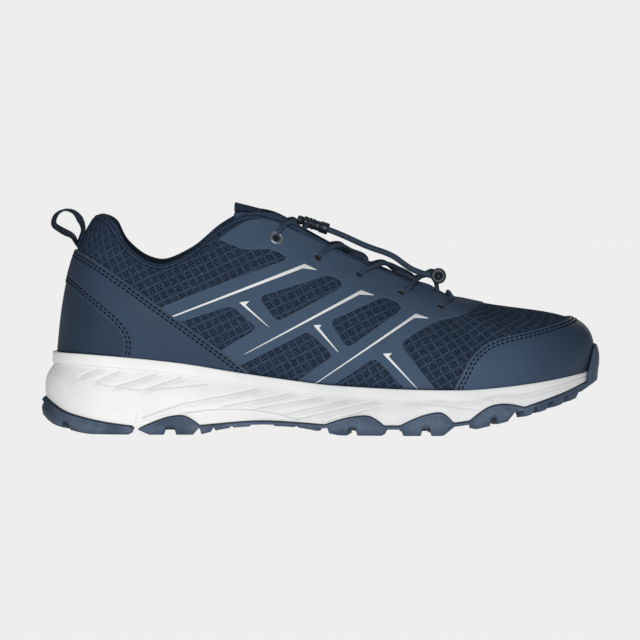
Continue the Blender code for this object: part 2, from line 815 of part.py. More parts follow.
def pod_rise(t):
    """How far the rubber climbs the foam's edge, alike on both sides."""
    rise = np.zeros(len(t))
    for pod in SOLE_PODS:
        ways = station_ways([pod.start, pod.peak, pod.end])
        rise += pod.height * np.interp(way_round(t) / 2, ways, [0, 1, 0])
    return rise


def raised(flat, z):
    return np.column_stack([flat, z])


def spine_ring(t, column, lift=0.0):
    """Ring folded onto the spine, where a surface that spans the sole closes."""
    flat = spine(t)
    return raised(flat, profile(column, flat[:, 0]) + lift)


def under_foam(t, lift=0.0):
    """Rings of the foam's underside from the spine to the inner edge of the pods, and over them."""
    inside, over = inset_ring(t, POD_DEPTH), inset_ring(t, POD_FLAT)
    return [
        spine_ring(t, "foam", lift),
        raised(inside, profile("foam", inside[:, 0]) + lift),
        raised(over, profile("foam", over[:, 0]) + pod_rise(t) + lift),
    ]


def foam_edge(t):
    """Height of the foam's lower edge, pods included."""
    return profile("foam", sole_ring(t)[0][:, 0]) + pod_rise(t)


def rib_depth(t, z):
    """Depth of the slanting ribs in the side of the foam at these heights."""
    x = sole_ring(t)[0][:, 0]
    station = x_station(x)
    saw = np.mod((x - RIB_LEAN * z) / RIB_PITCH, 1.0)
    return RIB_DEPTH * saw * smooth(station, *RIB_START) * (1 - smooth(station, *RIB_END))


def at_heel(t):
    """Share of a shape that grows towards the back of the heel."""
    return 1 - smooth(way_round(t), 0.0, HEEL_REACH)


def make_midsole():
    t = sole_positions()
    setback = last_sections(t)[4]
    band_inset = setback - LEDGE_OUT - HEEL_LEDGE * at_heel(t)
    low = foam_edge(t)
    top_flat = inset_ring(t, band_inset)
    top = profile("feather", top_flat[:, 0]) - GAP
    step = top - np.minimum(BAND_HEIGHT, BAND_SHARE * (top - low))
    rings = under_foam(t)
    for side in FOAM_SIDE:
        z = low + (step - low) * side.share
        inset = band_inset * side.setback + rib_depth(t, z) * side.ribbed
        rings.append(raised(inset_ring(t, inset), z))
    rings.append(raised(top_flat, step + BAND_STEP))
    rings.append(raised(top_flat, top))
    ledge = inset_ring(t, setback + LEDGE_IN)
    rings.append(raised(ledge, profile("feather", ledge[:, 0]) - GAP))
    rings.append(raised(ledge, profile("footbed", ledge[:, 0])))
    rings.append(spine_ring(t, "footbed"))
    return loft("midsole", rings, "foam", closed=False)


def make_insole():
    t = ring_positions(UPPER_COLUMNS)
    inset = last_sections(t)[4] + LEDGE_IN + GAP
    edge = inset_ring(t, inset)
    bed = profile("footbed", edge[:, 0])
    low, high = GAP, GAP + INSOLE
    rings = [spine_ring(t, "footbed", low), raised(edge, bed + low)]
    rings += [raised(edge, bed + high), spine_ring(t, "footbed", high)]
    return loft("insole", rings, "lining", closed=False)


def rubber_reach(t):
    """How far the rubber stands outside the outline below its top edge, most behind the heel."""
    return RUBBER_OUT + (HEEL_RUBBER_OUT - RUBBER_OUT) * at_heel(t)


def make_slab(name):
    t = sole_positions()
    top = under_foam(t, -GAP) + [raised(inset_ring(t, -RUBBER_OUT), foam_edge(t) - GAP)]
    low_edge = raised(inset_ring(t, -rubber_reach(t)), foam_edge(t) - GAP - RUBBER)
    low = under_foam(t, -GAP - RUBBER) + [low_edge]
    return loft(name, low + top[::-1], "rubber", closed=False)


def add_lug(bm, outer, inner, outer_top, inner_top, notch=0.0):
    """One lug: a strip of cells between an outer and an inner row, from the rubber to the ground."""
    rows = []
    for flat, top in ((outer, outer_top), (inner, inner_top)):
        for height in (top, np.minimum(profile("tread", flat[:, 0]) + notch, top - LUG_BITE)):
            rows.append([bm.verts.new(Vector(p) * MM) for p in raised(flat, height)])
    outer_high, outer_low, inner_high, inner_low = rows
    ring = (outer_high, outer_low, inner_low, inner_high)
    for near, far in zip(ring, ring[1:] + ring[:1]):
        for i in range(len(near) - 1):
            bm.faces.new((near[i], near[i + 1], far[i + 1], far[i]))
    for i in (0, -1):
        bm.faces.new([row[i] for row in ring])


def lug_strips(rows):
    """Stations along each strip of webbed lugs, with how far each stands off the ground."""
    strips = []
    joined = False
    for row in rows:
        own = np.linspace(row.start, row.end, math.ceil((row.end - row.start) / LUG_CELL) + 1)
        lifts = np.zeros(len(own))
        if joined:
            before, before_lifts = strips.pop()
            web = [before[-1] + WEB_DRAFT, row.start - WEB_DRAFT]
            own = np.concatenate([before, web, own])
            lifts = np.concatenate([before_lifts, [WEB_NOTCH, WEB_NOTCH], lifts])
        strips.append((own, lifts))
        joined = row.webbed
    return strips


def make_lugs(name, rows):
    """Lugs down both edges, and slanted blocks between them in the middle of the sole."""
    bm = bmesh.new()
    drop = GAP + RUBBER - LUG_BITE
    for side in (-1, 1):
        for stations, lifts in lug_strips(rows):
            t = station_ways(stations)
            t = t if side < 0 else 1 - t
            outer, inner = inset_ring(t, RUBBER_OUT - rubber_reach(t)), inset_ring(t, LUG_DEPTH)
            inner_top = profile("foam", inner[:, 0]) + pod_rise(t) - drop
            add_lug(bm, outer, inner, foam_edge(t) - drop, inner_top, lifts)
        for row in rows:
            if row.middle:
                t = station_ways([row.start, row.end])
                t = t if side < 0 else 1 - t
                outer = inset_ring(t, MIDDLE_LUG_INSET)
                inner = outer + (spine(t) - outer) * MIDDLE_LUG_SHARE
                tops = [profile("foam", flat[:, 0]) - drop for flat in (outer, inner)]
                add_lug(bm, outer, inner, *tops)
    return helper(finish_object(name, mesh_from(bm, name), "rubber"))


def make_bumper():
    """The rubber turned up over the toe, standing clear of foam, upper and toe cap."""
    across = np.linspace(-1, 1, BUMPER_COLUMNS)
    t = 0.5 + across * BUMPER_HALF / 100
    root = foam_edge(t) - GAP - RUBBER / 2
    bite = inset_ring(t, CHIN_BITE)
    inner = [raised(bite, profile("foam", bite[:, 0]) - GAP - RUBBER / 2)]
    inner.append(raised(inset_ring(t, BUMPER_BITE + BUMPER_TUCK), root - GAP))
    inner.append(raised(inset_ring(t, BUMPER_BITE), root))
    outer = []
    for chin in BUMPER_CHIN:
        flat = inset_ring(t, chin.inset)
        outer.append(raised(flat, profile("tread", flat[:, 0]) + chin.over))
    outer.append(raised(inset_ring(t, -BUMPER_ROOT), root - GAP))
    for z in (foam_edge(t) - 2 * GAP, feather_ring(t)[:, 2]):
        inner.append(raised(inset_ring(t, -BUMPER_CLEAR), z))
        outer.append(raised(inset_ring(t, -BUMPER_OUT), z))
    for row in TOE_BUMPER:
        t = 0.5 + across * row.half / 100
        share = np.full_like(t, row.share)
        inner.append(offset_last(t, share, BUMPER_LIFT))
        outer.append(offset_last(t, share, row.outer))
    return helper(sheet_solid("toe_bumper", outer, inner, "rubber"))


def make_outsole():
    heel_end, front_end = station_x(HEEL_SPLIT)
    heel_rows = [row for row in LUGS if row.end < HEEL_SPLIT[0]]
    front_rows = [row for row in LUGS if row.start > HEEL_SPLIT[1]]

    def block(name, low, high):
        corners = [(low, -CUT_REACH), (high, -CUT_REACH), (high, CUT_REACH), (low, CUT_REACH)]
        return prism(name, [corners])

    heel = make_slab("outsole_heel")
    combine(heel, make_lugs("heel_lugs", heel_rows), "UNION")
    combine(heel, block("heel_end", heel_end, LENGTH), "DIFFERENCE")
    front = make_slab("outsole_forefoot")
    combine(front, make_lugs("forefoot_lugs", front_rows), "UNION")
    combine(front, make_bumper(), "UNION")
    combine(front, block("forefoot_end", -LENGTH, front_end), "DIFFERENCE")


# Tongue under the throat, with its free top and the webbing tab over it

def tongue_row(way):
    """Points across the tongue, from under one edge of the throat to under the other."""
    sides = []
    for t in (way / 2, 1 - way / 2):
        under = np.array(TONGUE_UNDER)
        ways = np.full_like(under, t)
        sides.append(offset_last(ways, under, -wall_at(ways, under) - TONGUE_GAP))
    rims = opening_ring(np.array([way / 2, 1 - way / 2]))
    middle = rims.mean(axis=0)
    middle[2] -= np.interp(way, (TONGUE_WAYS[-1], TONGUE_WAYS[0]), TONGUE_DIP[::-1])
    points = np.vstack([sides[0], middle, sides[1][::-1]])
    run = np.concatenate([[0], np.cumsum(np.linalg.norm(np.diff(points, axis=0), axis=1))])
    return curve_through(run, points, np.linspace(0, run[-1], TONGUE_COLUMNS))


def tongue_rows():
    rows = [tongue_row(way) for way in TONGUE_WAYS]
    for top in TONGUE_TOP:
        row = rows[-1].copy()
        middle = row[len(row) // 2]
        row[:, 1] = middle[1] + (row[:, 1] - middle[1]) * top.width
        rows.append(row + np.array([-top.back, 0, top.up]))
    return np.array(rows)


def grid_normals(grid):
    """Upward unit normals of a grid of points."""
    along, across = np.gradient(grid, axis=0), np.gradient(grid, axis=1)
    normal = np.cross(across, along)
    normal /= np.linalg.norm(normal, axis=2)[:, :, None]
    return normal * np.sign(normal[:, :, 2].mean())


def make_tongue():
    rows = tongue_rows()
    return sheet_solid("tongue", rows, rows - grid_normals(rows) * TONGUE, "lining")


def make_tongue_tab():
    rows = tongue_rows()
    middle = rows.shape[1] // 2
    columns = slice(middle - TAB_SPAN, middle + TAB_SPAN + 1)
    up = grid_normals(rows)[-TAB_ROWS:, columns]
    grid = rows[-TAB_ROWS:, columns]
    return sheet_solid("tongue_tab", grid + up * (TAB_LIFT + WEBBING), grid + up * TAB_LIFT, "webbing")


# Pull loop of webbing behind the heel

def make_pull_loop():
    ends = offset_last(
        np.zeros(1 + len(LOOP_HEAD)),
        np.array((LOOP_FOOT,) + LOOP_HEAD),
        np.array([LOOP_FOOT_LIFT] + [LOOP_HEAD_LIFT] * len(LOOP_HEAD)),
    )
    route = [ends[0][[0, 2]]] + [np.array(p) for p in PULL_LOOP] + list(ends[1:, [0, 2]])
    run = np.concatenate([[0], np.cumsum(np.linalg.norm(np.diff(route, axis=0), axis=1))])
    line = curve_through(run, route, np.linspace(0, run[-1], LOOP_ROWS))
    along = np.gradient(line, axis=0)
    along /= np.linalg.norm(along, axis=1)[:, None]
    out = np.column_stack([-along[:, 1], along[:, 0]]) * WEBBING / 2
    sides = np.array([-LOOP_WIDTH / 2, LOOP_WIDTH / 2]) + ends[0][1]

    def strip(flat):
        return [[(x, y, z) for y in sides] for x, z in flat]

    return sheet_solid("pull_loop", strip(line + out), strip(line - out), "webbing")


# Lace: eyelets, crossings over the tongue, cord lock and the free cord

def eyelet_spot(row):
    """Ring position and height share of an eyelet on the outer side; the inner side mirrors it."""
    return find_on_last(station_x(row.station), row.height * INSTEP_HEIGHT / 100)


def over_panel(t, v, lift):
    return offset_last(np.array([t]), np.array([v]), lift)[0]


def over_rim(t):
    """Point where a lace turns over the edge of the throat."""
    t = np.array([t])
    edge, below = last_surface(t, np.ones(1))[0], last_surface(t, np.full(1, RIM_SHARE))[0]
    up = (edge - below) / np.linalg.norm(edge - below)
    out, over = LACE_RIM
    return edge + last_normal(t, np.ones(1))[0] * out + up * over


def on_tongue(way, side, share):
    """Middle of a lace on the tongue, at a share of the way from its middle to one edge of the throat."""
    row = tongue_row(way)
    middle = row[TONGUE_COLUMNS // 2]
    rim = opening_ring(np.array([way / 2 if side < 0 else 1 - way / 2]))[0]
    x, y = (middle + (rim - middle) * share)[:2]
    return np.array([x, y, np.interp(y, row[:, 1], row[:, 2]) + LACE_CLEAR + LACE_RADIUS])


def edge_way(station):
    """Ring position on the outer side where the throat's edge has come to this station."""
    t = np.linspace(0.1, 0.5, 400)
    return np.interp(station_x(station), opening_ring(t)[:, 0], t)


def to_rim(row, side):
    """Route on one side from above an eyelet to the edge of the throat, leaning forward."""
    start, share = eyelet_spot(row)
    end = edge_way(row.edge)
    middle = (start + end) / 2
    start, middle, end = (t if side < 0 else 1 - t for t in (start, middle, end))
    return [
        over_panel(start, share, row.lift),
        over_panel(middle, (share + 1) / 2, row.lift),
        over_rim(end),
    ]


def crossing_route(first, second, side):
    """Route from an eyelet on one side to where the lace dives under the throat's other edge."""
    end = edge_way(second.edge - DIVE_BACK)
    middle = on_tongue(edge_way(first.edge) + end, side, 0.0)
    return to_rim(first, side) + [middle, on_tongue(2 * end, -side, DIVE_SHARE)]


def make_lace():
    """Tails from the top eyelets to the lock, crossings between the lower ones, and the front bar."""
    for number, (first, second) in enumerate(zip(EYELETS[1:], EYELETS[2:]), 1):
        whole = tube_mesh("lace_crossing_%d" % number, crossing_route(first, second, -1), LACE_RADIUS)
        other = tube_mesh("lace_strand_%d" % number, crossing_route(first, second, 1), LACE_RADIUS)
        combine(whole, helper(other), "UNION")
    front = EYELETS[-1]
    middle = on_tongue(2 * edge_way(front.edge), -1, 0.0)
    tube_mesh("lace_bar", to_rim(front, -1) + [middle] + to_rim(front, 1)[::-1], LACE_RADIUS)
    for side, name in ((-1, "lateral"), (1, "medial")):
        end = np.array(LOCK_CENTRE) + np.array([TAIL_BACK, side * (LOCK_RADIUS + TAIL_CLEAR), TAIL_UP])
        tail = to_rim(EYELETS[0], side)
        rise = (tail[-1] + end) / 2 + np.array([0, 0, TAIL_RISE])
        tube_mesh("lace_tail_" + name, tail + [rise, end], LACE_RADIUS)


def make_eyelets():
    """The top eyelets are metal; the lower ones are only punched."""
    t, v = eyelet_spot(EYELETS[0])
    make_eyelet("eyelet_lateral", t, v)
    make_eyelet("eyelet_medial", 1 - t, v)


def make_eyelet(name, t, v):
    """Flat metal ring lying on the eyestay."""
    spot = np.array([t])
    normal = Vector(last_normal(spot, np.array([v]))[0])
    turn = normal.to_track_quat("Z", "Y").to_matrix()
    centre = Vector(over_panel(t, v, EYESTAY_OUTER + EYELET_LIFT))
    rings = []
    for radius, height in (
        (EYELET_OUTER, 0), (EYELET_OUTER, EYELET_THICK), (EYELET_INNER, EYELET_THICK), (EYELET_INNER, 0),
    ):
        angles = np.arange(EYELET_SIDES) * 2 * math.pi / EYELET_SIDES
        rings.append([
            centre + turn @ Vector((radius * math.cos(a), radius * math.sin(a), height)) for a in angles
        ])
    return loft(name, rings, "metal", closed=True)


def turned(name, centre, axis, profile_rows, kind):
    """Solid of revolution about an axis through centre, from rows of distance along it and radius."""
    turn = Vector(axis).to_track_quat("Z", "Y").to_matrix()
    bm = bmesh.new()
    made = []
    for along, radius in profile_rows:
        ring = []
        for i in range(ROUND_SIDES):
            a = i * 2 * math.pi / ROUND_SIDES
            spot = Vector((radius * math.cos(a), radius * math.sin(a), along))
            ring.append(bm.verts.new((Vector(centre) + turn @ spot) * MM))
        made.append(ring)
    for low, high in zip(made, made[1:]):
        for i in range(ROUND_SIDES):
            j = (i + 1) % ROUND_SIDES
            bm.faces.new((low[i], low[j], high[j], high[i]))
    bm.faces.new(made[0])
    bm.faces.new(made[-1])
    return finish_object(name, mesh_from(bm, name), kind)


def make_cord_lock():
    """Ribbed barrel, the plunger at its heel end, and the barrel on the end of the cord."""
    slope = math.radians(LOCK_SLOPE)
    axis = np.array([math.cos(slope), 0, -math.sin(slope)])
    barrel = [(row.along * LOCK_LENGTH / 2, LOCK_RADIUS - row.groove * LOCK_RIB) for row in LOCK_BARREL]
    turned("cord_lock_barrel", LOCK_CENTRE, axis, barrel, "plastic")
    foot = -LOCK_LENGTH / 2 - GAP
    tip = foot - PLUNGER_LENGTH
    plunger = [(tip, PLUNGER_RADIUS - LOCK_RIB), (tip + LOCK_RIB, PLUNGER_RADIUS), (foot, PLUNGER_RADIUS)]
    turned("cord_lock_plunger", LOCK_CENTRE, axis, plunger, "plastic")
    half = CORD_END_LENGTH / 2
    corner = half - LOCK_RIB
    edge = CORD_END_RADIUS - LOCK_RIB
    ends = [(-half, edge), (-corner, CORD_END_RADIUS), (corner, CORD_END_RADIUS), (half, edge)]
    turned("cord_end", CORD_END_CENTRE, (0, 1, 0), ends, "plastic")


def make_free_cord():
    for side, name in ((-1, "lateral"), (1, "medial")):
        route = [(p.x, CORD_Y + side * CORD_SPREAD, p.z) for p in CORD_ROUTE]
        tube("lace_run_" + name, smooth_route(route, CORD_STEP), LACE_RADIUS, 2)


clear_scene()
make_outsole()
make_midsole()
make_insole()
make_upper()
make_panels()
make_tongue()
make_tongue_tab()
make_pull_loop()
make_lace()
make_eyelets()
make_cord_lock()
make_free_cord()
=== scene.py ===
"""Looks of the low-cut hiking shoe for the right foot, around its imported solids.

The sections follow the shoe as it is put together: cord, sole, upper, panels, tongue, lace and lock.
Sizes are in millimetres unless a name says otherwise, and meshes are made in metres.
"""

import math

import bmesh
import bpy
import numpy as np
from mathutils import Matrix, Vector


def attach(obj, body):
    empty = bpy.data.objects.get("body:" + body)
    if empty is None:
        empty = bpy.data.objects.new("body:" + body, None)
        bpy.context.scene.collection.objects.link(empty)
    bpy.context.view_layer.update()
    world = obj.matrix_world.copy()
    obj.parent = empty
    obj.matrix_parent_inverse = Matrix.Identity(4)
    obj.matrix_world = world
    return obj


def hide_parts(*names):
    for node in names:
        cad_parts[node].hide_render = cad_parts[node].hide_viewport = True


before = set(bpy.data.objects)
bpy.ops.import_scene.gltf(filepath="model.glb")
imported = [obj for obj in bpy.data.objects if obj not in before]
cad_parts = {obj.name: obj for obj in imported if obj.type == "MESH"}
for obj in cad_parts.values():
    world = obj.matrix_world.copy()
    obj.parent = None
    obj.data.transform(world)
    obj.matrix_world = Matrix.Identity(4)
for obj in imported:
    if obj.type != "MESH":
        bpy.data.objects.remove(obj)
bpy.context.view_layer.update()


# Studio. Pale paper lies under the shoe and stands behind it in one tone. A broad soft light on the
# camera's side lights the outer side, a weaker one stands behind, and the lens is a long one.
MM = 0.001
PAPER = (0.855, 0.855, 0.855, 1.0)
ROOM_GLOW = 0.13
FLOOR_SIZE_M = 6.0
FLOOR_DROP_M = 0.0002
PAPER_DARK = (0.006, 0.006, 0.006, 1)
PAPER_GLOW = 0.995
VIEW_RISE = math.radians(3.0)
VIEW_CENTRE = Vector((0.0, -24.0, 59.9)) * MM
VIEW_WIDTH = 339.2 * MM
LENS = 600.0
SENSOR = 36.0
LIGHT_AIM_M = Vector((0, 0, 0.05))
# name, place in metres, side in metres, power in watts
SOFT_LIGHTS = (
    ("front_light", (-0.1, -2.2, 0.5), 1.2, 38.0),
    ("top_light", (-0.1, 0.2, 1.9), 1.2, 2.5),
    ("back_light", (0.4, 2.0, 0.6), 1.2, 8.0),
)

bpy.ops.object.select_all(action="DESELECT")
view_reach = VIEW_WIDTH * LENS / SENSOR
bpy.ops.object.camera_add(
    location=VIEW_CENTRE + Vector((0, -math.cos(VIEW_RISE), math.sin(VIEW_RISE))) * view_reach,
    rotation=(math.pi / 2 - VIEW_RISE, 0, 0),
)
camera = bpy.context.object
camera.data.lens = LENS
camera.data.sensor_width = SENSOR
bpy.context.scene.camera = camera
bpy.context.scene.view_settings.view_transform = "Standard"


def add_node(tree, kind, inputs=(), **settings):
    """Add a shader node; each input is a value or the output of another node."""
    made = tree.nodes.new("ShaderNode" + kind)
    for name, value in settings.items():
        setattr(made, name, value)
    for socket, value in dict(inputs).items():
        if isinstance(value, bpy.types.NodeSocket):
            tree.links.new(value, made.inputs[socket])
        else:
            made.inputs[socket].default_value = value
    return made


world = bpy.data.worlds.new("studio")
world.use_nodes = True
bpy.context.scene.world = world
seen_paper = world.node_tree.nodes["Background"]
seen_paper.inputs["Color"].default_value = PAPER
room = add_node(world.node_tree, "Background", {"Color": (1, 1, 1, 1), "Strength": ROOM_GLOW})
ray = add_node(world.node_tree, "LightPath")
sky = add_node(
    world.node_tree,
    "MixShader",
    {0: ray.outputs["Is Camera Ray"], 1: room.outputs[0], 2: seen_paper.outputs[0]},
)
world.node_tree.links.new(sky.outputs[0], world.node_tree.nodes["World Output"].inputs["Surface"])

for name, place, side, power in SOFT_LIGHTS:
    aim = LIGHT_AIM_M - Vector(place)
    bpy.ops.object.light_add(type="AREA", location=place, rotation=aim.to_track_quat("-Z", "Y").to_euler())
    bpy.context.object.name = name
    bpy.context.object.data.size = side
    bpy.context.object.data.energy = power

bpy.ops.mesh.primitive_plane_add(size=FLOOR_SIZE_M, location=(0, 0, -FLOOR_DROP_M))
floor = bpy.context.object
floor.name = "floor"
paper = bpy.data.materials.new("paper")
paper.use_nodes = True
paper_shader = paper.node_tree.nodes["Principled BSDF"]
paper_shader.inputs["Base Color"].default_value = PAPER_DARK
paper_shader.inputs["Roughness"].default_value = 1.0
paper_shader.inputs["Specular IOR Level"].default_value = 0.0
paper_shader.inputs["Emission Color"].default_value = PAPER
paper_shader.inputs["Emission Strength"].default_value = PAPER_GLOW
floor.data.materials.append(paper)


# Free lace. Two ends of a round elastic cord, braided from polyester over rubber, leave the cord lock
# side by side, sag to the front of the throat, and are held together there by the cord end.
CORD_ROUTE = [
    (4.2, 107.1),
    (8.5, 105.4),
    (13.3, 103.4),
    (18.5, 101.0),
    (23.9, 98.6),
    (29.2, 96.6),
    (34.5, 94.8),
    (39.6, 92.4),
    (44.0, 89.2),
    (48.4, 86.2),
    (53.4, 84.1),
    (59.6, 82.4),
]
CORD_Y = -4.0
CORD_SPREAD = 1.85
CORD_STEP = 1.5
LACE_RADIUS = 1.5
LACE_SIDES = 14
LACE_DARK = (22, 31, 43)
LACE_PALE = (70, 85, 105)
BRAID_PITCH = 1.5
BRAID_STRANDS = 5.0
CORD_END_CENTRE = (63.0, -4.0, 82.4)
# distance along the cord end and radius, from one bore to the other
CORD_END_ROWS = (
    (-2.6, 1.6),
    (-4.1, 1.7),
    (-4.5, 2.2),
    (-4.5, 3.3),
    (-4.2, 3.9),
    (-3.5, 4.1),
    (-1.4, 4.1),
    (-1.1, 3.8),
    (1.1, 3.8),
    (1.4, 4.1),
    (3.5, 4.1),
    (4.2, 3.9),
    (4.5, 3.3),
    (4.5, 2.2),
    (4.1, 1.7),
    (2.6, 1.6),
)
PLASTIC = (17, 22, 31)
PLASTIC_GRAIN = (34, 42, 54)
ROUND_SIDES = 32


def tone(red, green, blue):
    """Linear colour of a tone that is read as 0 to 255."""

    def linear(c):
        return ((c / 255 + 0.055) / 1.055) ** 2.4 if c > 10 else c / 255 / 12.92

    return tuple(linear(c) for c in (red, green, blue))


def finish(name, colour, rough, **sockets):
    """New material with its plain colour and constant sockets set on the shader itself."""
    made = bpy.data.materials.new(name)
    made.use_nodes = True
    shader = made.node_tree.nodes["Principled BSDF"]
    shader.inputs["Base Color"].default_value = (*tone(*colour), 1)
    shader.inputs["Roughness"].default_value = rough
    for socket, value in sockets.items():
        shader.inputs[socket.replace("_", " ")].default_value = value
    return made, made.node_tree, shader


def calc(tree, operation, first, second=0.5, third=0.5):
    return add_node(tree, "Math", {0: first, 1: second, 2: third}, operation=operation).outputs[0]


def blend(tree, share, first, second):
    """Mix of two tones or colour outputs by a share."""
    pair = [c if isinstance(c, bpy.types.NodeSocket) else (*tone(*c), 1) for c in (first, second)]
    mixed = add_node(tree, "Mix", {0: share, 6: pair[0], 7: pair[1]}, data_type="RGBA")
    return mixed.outputs[2]


def colour_by(tree, shader, colour):
    tree.links.new(colour, shader.inputs["Base Color"])


def relief(tree, shader, height, depth):
    """Bump of this depth in millimetres from a height of 0 to 1."""
    bump = add_node(tree, "Bump", {"Height": height, "Distance": depth * MM, "Strength": 1.0})
    tree.links.new(bump.outputs[0], shader.inputs["Normal"])


def own_uv(tree):
    """The piece's UV map, in millimetres along and across."""
    split = add_node(tree, "SeparateXYZ", {0: add_node(tree, "UVMap").outputs[0]})
    return split.outputs[0], split.outputs[1]


def place_noise(tree, size, detail=3.0):
    """Noise on Object coordinates with features of about this size in millimetres."""
    where = add_node(tree, "TexCoord").outputs["Object"]
    return add_node(tree, "TexNoise", {"Vector": where, "Scale": 1000 / size, "Detail": detail}).outputs[0]


def limits(tree, value, low, high):
    """Share that runs softly from 0 to 1 while a value runs from low to high."""
    inputs = {"Value": value, "From Min": low, "From Max": high}
    return add_node(tree, "MapRange", inputs, interpolation_type="SMOOTHSTEP").outputs[0]


def braid_finish(name):
    """Two families of strands that wind round the cord in opposite ways."""
    made, tree, shader = finish(name, LACE_PALE, 0.7, Specular_IOR_Level=0.12)
    along, round_it = own_uv(tree)
    run = calc(tree, "MULTIPLY", along, 2 * math.pi / BRAID_PITCH)
    turn = calc(tree, "MULTIPLY", round_it, 2 * math.pi * BRAID_STRANDS)
    first = calc(tree, "SINE", calc(tree, "ADD", run, turn))
    second = calc(tree, "SINE", calc(tree, "SUBTRACT", run, turn))
    plait = calc(tree, "MULTIPLY_ADD", calc(tree, "MULTIPLY", first, second), 0.5, 0.5)
    colour_by(tree, shader, blend(tree, plait, LACE_DARK, LACE_PALE))
    relief(tree, shader, plait, 0.22)
    return made


def curve_through(knots, values, at):
    """Smooth curve through a table, whose slope at a row leans on the rows beside it."""
    knots, values, at = np.asarray(knots, float), np.asarray(values, float), np.asarray(at, float)
    step = np.diff(knots)[:, None]
    secant = np.diff(values, axis=0) / step
    inner = (secant[:-1] * step[1:] + secant[1:] * step[:-1]) / (step[:-1] + step[1:])
    slope = np.vstack([secant[:1], inner, secant[-1:]])
    row = np.clip(np.searchsorted(knots, at, side="right") - 1, 0, len(step) - 1)
    width = step[row]
    s = ((at - knots[row])[:, None]) / width
    start, end = values[row], values[row + 1]
    return (
        start * (1 + 2 * s) * (1 - s) ** 2
        + slope[row] * width * s * (1 - s) ** 2
        + end * s * s * (3 - 2 * s)
        + slope[row + 1] * width * s * s * (s - 1)
    )


def run_along(points):
    """Distance of each point of a row from its first one, along the row."""
    return np.concatenate([[0], np.cumsum(np.linalg.norm(np.diff(points, axis=0), axis=1))])


def smooth_route(points, step):
    """Points every step along a smooth curve through a route's own points."""
    points = np.asarray(points, float)
    run = run_along(points)
    return curve_through(run, points, np.linspace(0, run[-1], int(round(run[-1] / step)) + 1))


def build(name, points, faces, corner_uv=None):
    """Smooth-shaded object from points in millimetres."""
    mesh = bpy.data.meshes.new(name)
    mesh.from_pydata((np.asarray(points, float) * MM).tolist(), [], faces)
    if corner_uv is not None:
        layer = mesh.uv_layers.new(name="UVMap")
        layer.data.foreach_set("uv", np.asarray(corner_uv, np.float32).ravel())
    mesh.shade_smooth()
    obj = bpy.data.objects.new(name, mesh)
    bpy.context.scene.collection.objects.link(obj)
    return obj


def cord_mesh(name, path, radius):
    """Round cord along a path, with its run and its turn as UVs, closed at both ends."""
    path = np.asarray(path, float)
    along = np.gradient(path, axis=0)
    along /= np.linalg.norm(along, axis=1)[:, None]
    run = run_along(path)
    angles = np.arange(LACE_SIDES) * 2 * math.pi / LACE_SIDES
    up = np.array([0.0, 0.3, 1.0])
    rings = []
    for point, way in zip(path, along):
        up = up - way * (up @ way)
        up /= np.linalg.norm(up)
        side = np.cross(way, up)
        rings.append(point + radius * (np.cos(angles)[:, None] * up + np.sin(angles)[:, None] * side))
    faces, uvs = [], []
    for i in range(len(path) - 1):
        for j in range(LACE_SIDES):
            k = (j + 1) % LACE_SIDES
            near, far = i * LACE_SIDES, (i + 1) * LACE_SIDES
            faces.append((near + j, near + k, far + k, far + j))
            left, right = j / LACE_SIDES, (j + 1) / LACE_SIDES
            uvs += [(run[i], left), (run[i], right), (run[i + 1], right), (run[i + 1], left)]
    last = (len(path) - 1) * LACE_SIDES
    faces.append(tuple(range(LACE_SIDES - 1, -1, -1)))
    faces.append(tuple(range(last, last + LACE_SIDES)))
    uvs += [(0, 0)] * LACE_SIDES + [(run[-1], 0)] * LACE_SIDES
    return build(name, np.vstack(rings), faces, uvs)


def fit(piece, slot, *nodes):
    """Fix a finished piece to the shoe and hide the solids that it stands for; its slot is not used."""
    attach(piece, "root")
    if nodes:
        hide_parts(*nodes)


def turned(name, rows, centre, axis):
    """Turned piece: a disc is extruded row by row along an axis and scaled to each row's radius."""
    start, radius = rows[0]
    bpy.ops.object.select_all(action="DESELECT")
    bpy.ops.mesh.primitive_circle_add(vertices=ROUND_SIDES, radius=radius * MM, fill_type="NGON")
    piece = bpy.context.object
    bpy.ops.object.mode_set(mode="EDIT")
    for along, wide in rows[1:]:
        bpy.ops.mesh.extrude_region_move(TRANSFORM_OT_translate={"value": (0, 0, (along - start) * MM)})
        bpy.ops.transform.resize(value=(wide / radius, wide / radius, 1))
        start, radius = along, wide
    bpy.ops.mesh.select_all(action="SELECT")
    bpy.ops.mesh.normals_make_consistent(inside=False)
    bpy.ops.object.mode_set(mode="OBJECT")
    turn = Vector(axis).to_track_quat("Z", "Y").to_matrix().to_4x4()
    lift = Matrix.Translation(Vector((0, 0, rows[0][0] * MM)))
    piece.data.transform(Matrix.Translation(Vector(centre) * MM) @ turn @ lift)
    piece.name = name
    piece.data.shade_smooth()
    return piece


moulded, moulded_tree, moulded_shader = finish(
    "moulded_plastic", PLASTIC, 0.42, Specular_IOR_Level=0.35, Coat_Weight=0.08
)
moulded_grain = place_noise(moulded_tree, 0.6)
relief(moulded_tree, moulded_shader, moulded_grain, 0.03)
colour_by(moulded_tree, moulded_shader, blend(moulded_tree, moulded_grain, PLASTIC, PLASTIC_GRAIN))
lace_braid = braid_finish("lace_braid")

cord_end = turned("cord_end_barrel", CORD_END_ROWS, CORD_END_CENTRE, (0, 1, 0))
cord_end.data.materials.append(moulded)
fit(cord_end, "lock_plastic", "cord_end")

for side, name in ((-1, "lateral"), (1, "medial")):
    path = smooth_route([(x, CORD_Y + side * CORD_SPREAD, z) for x, z in CORD_ROUTE], CORD_STEP)
    free_cord = cord_mesh("free_lace_" + name, path, LACE_RADIUS)
    free_cord.data.materials.append(lace_braid)
    fit(free_cord, "lace_cord", "lace_run_" + name)


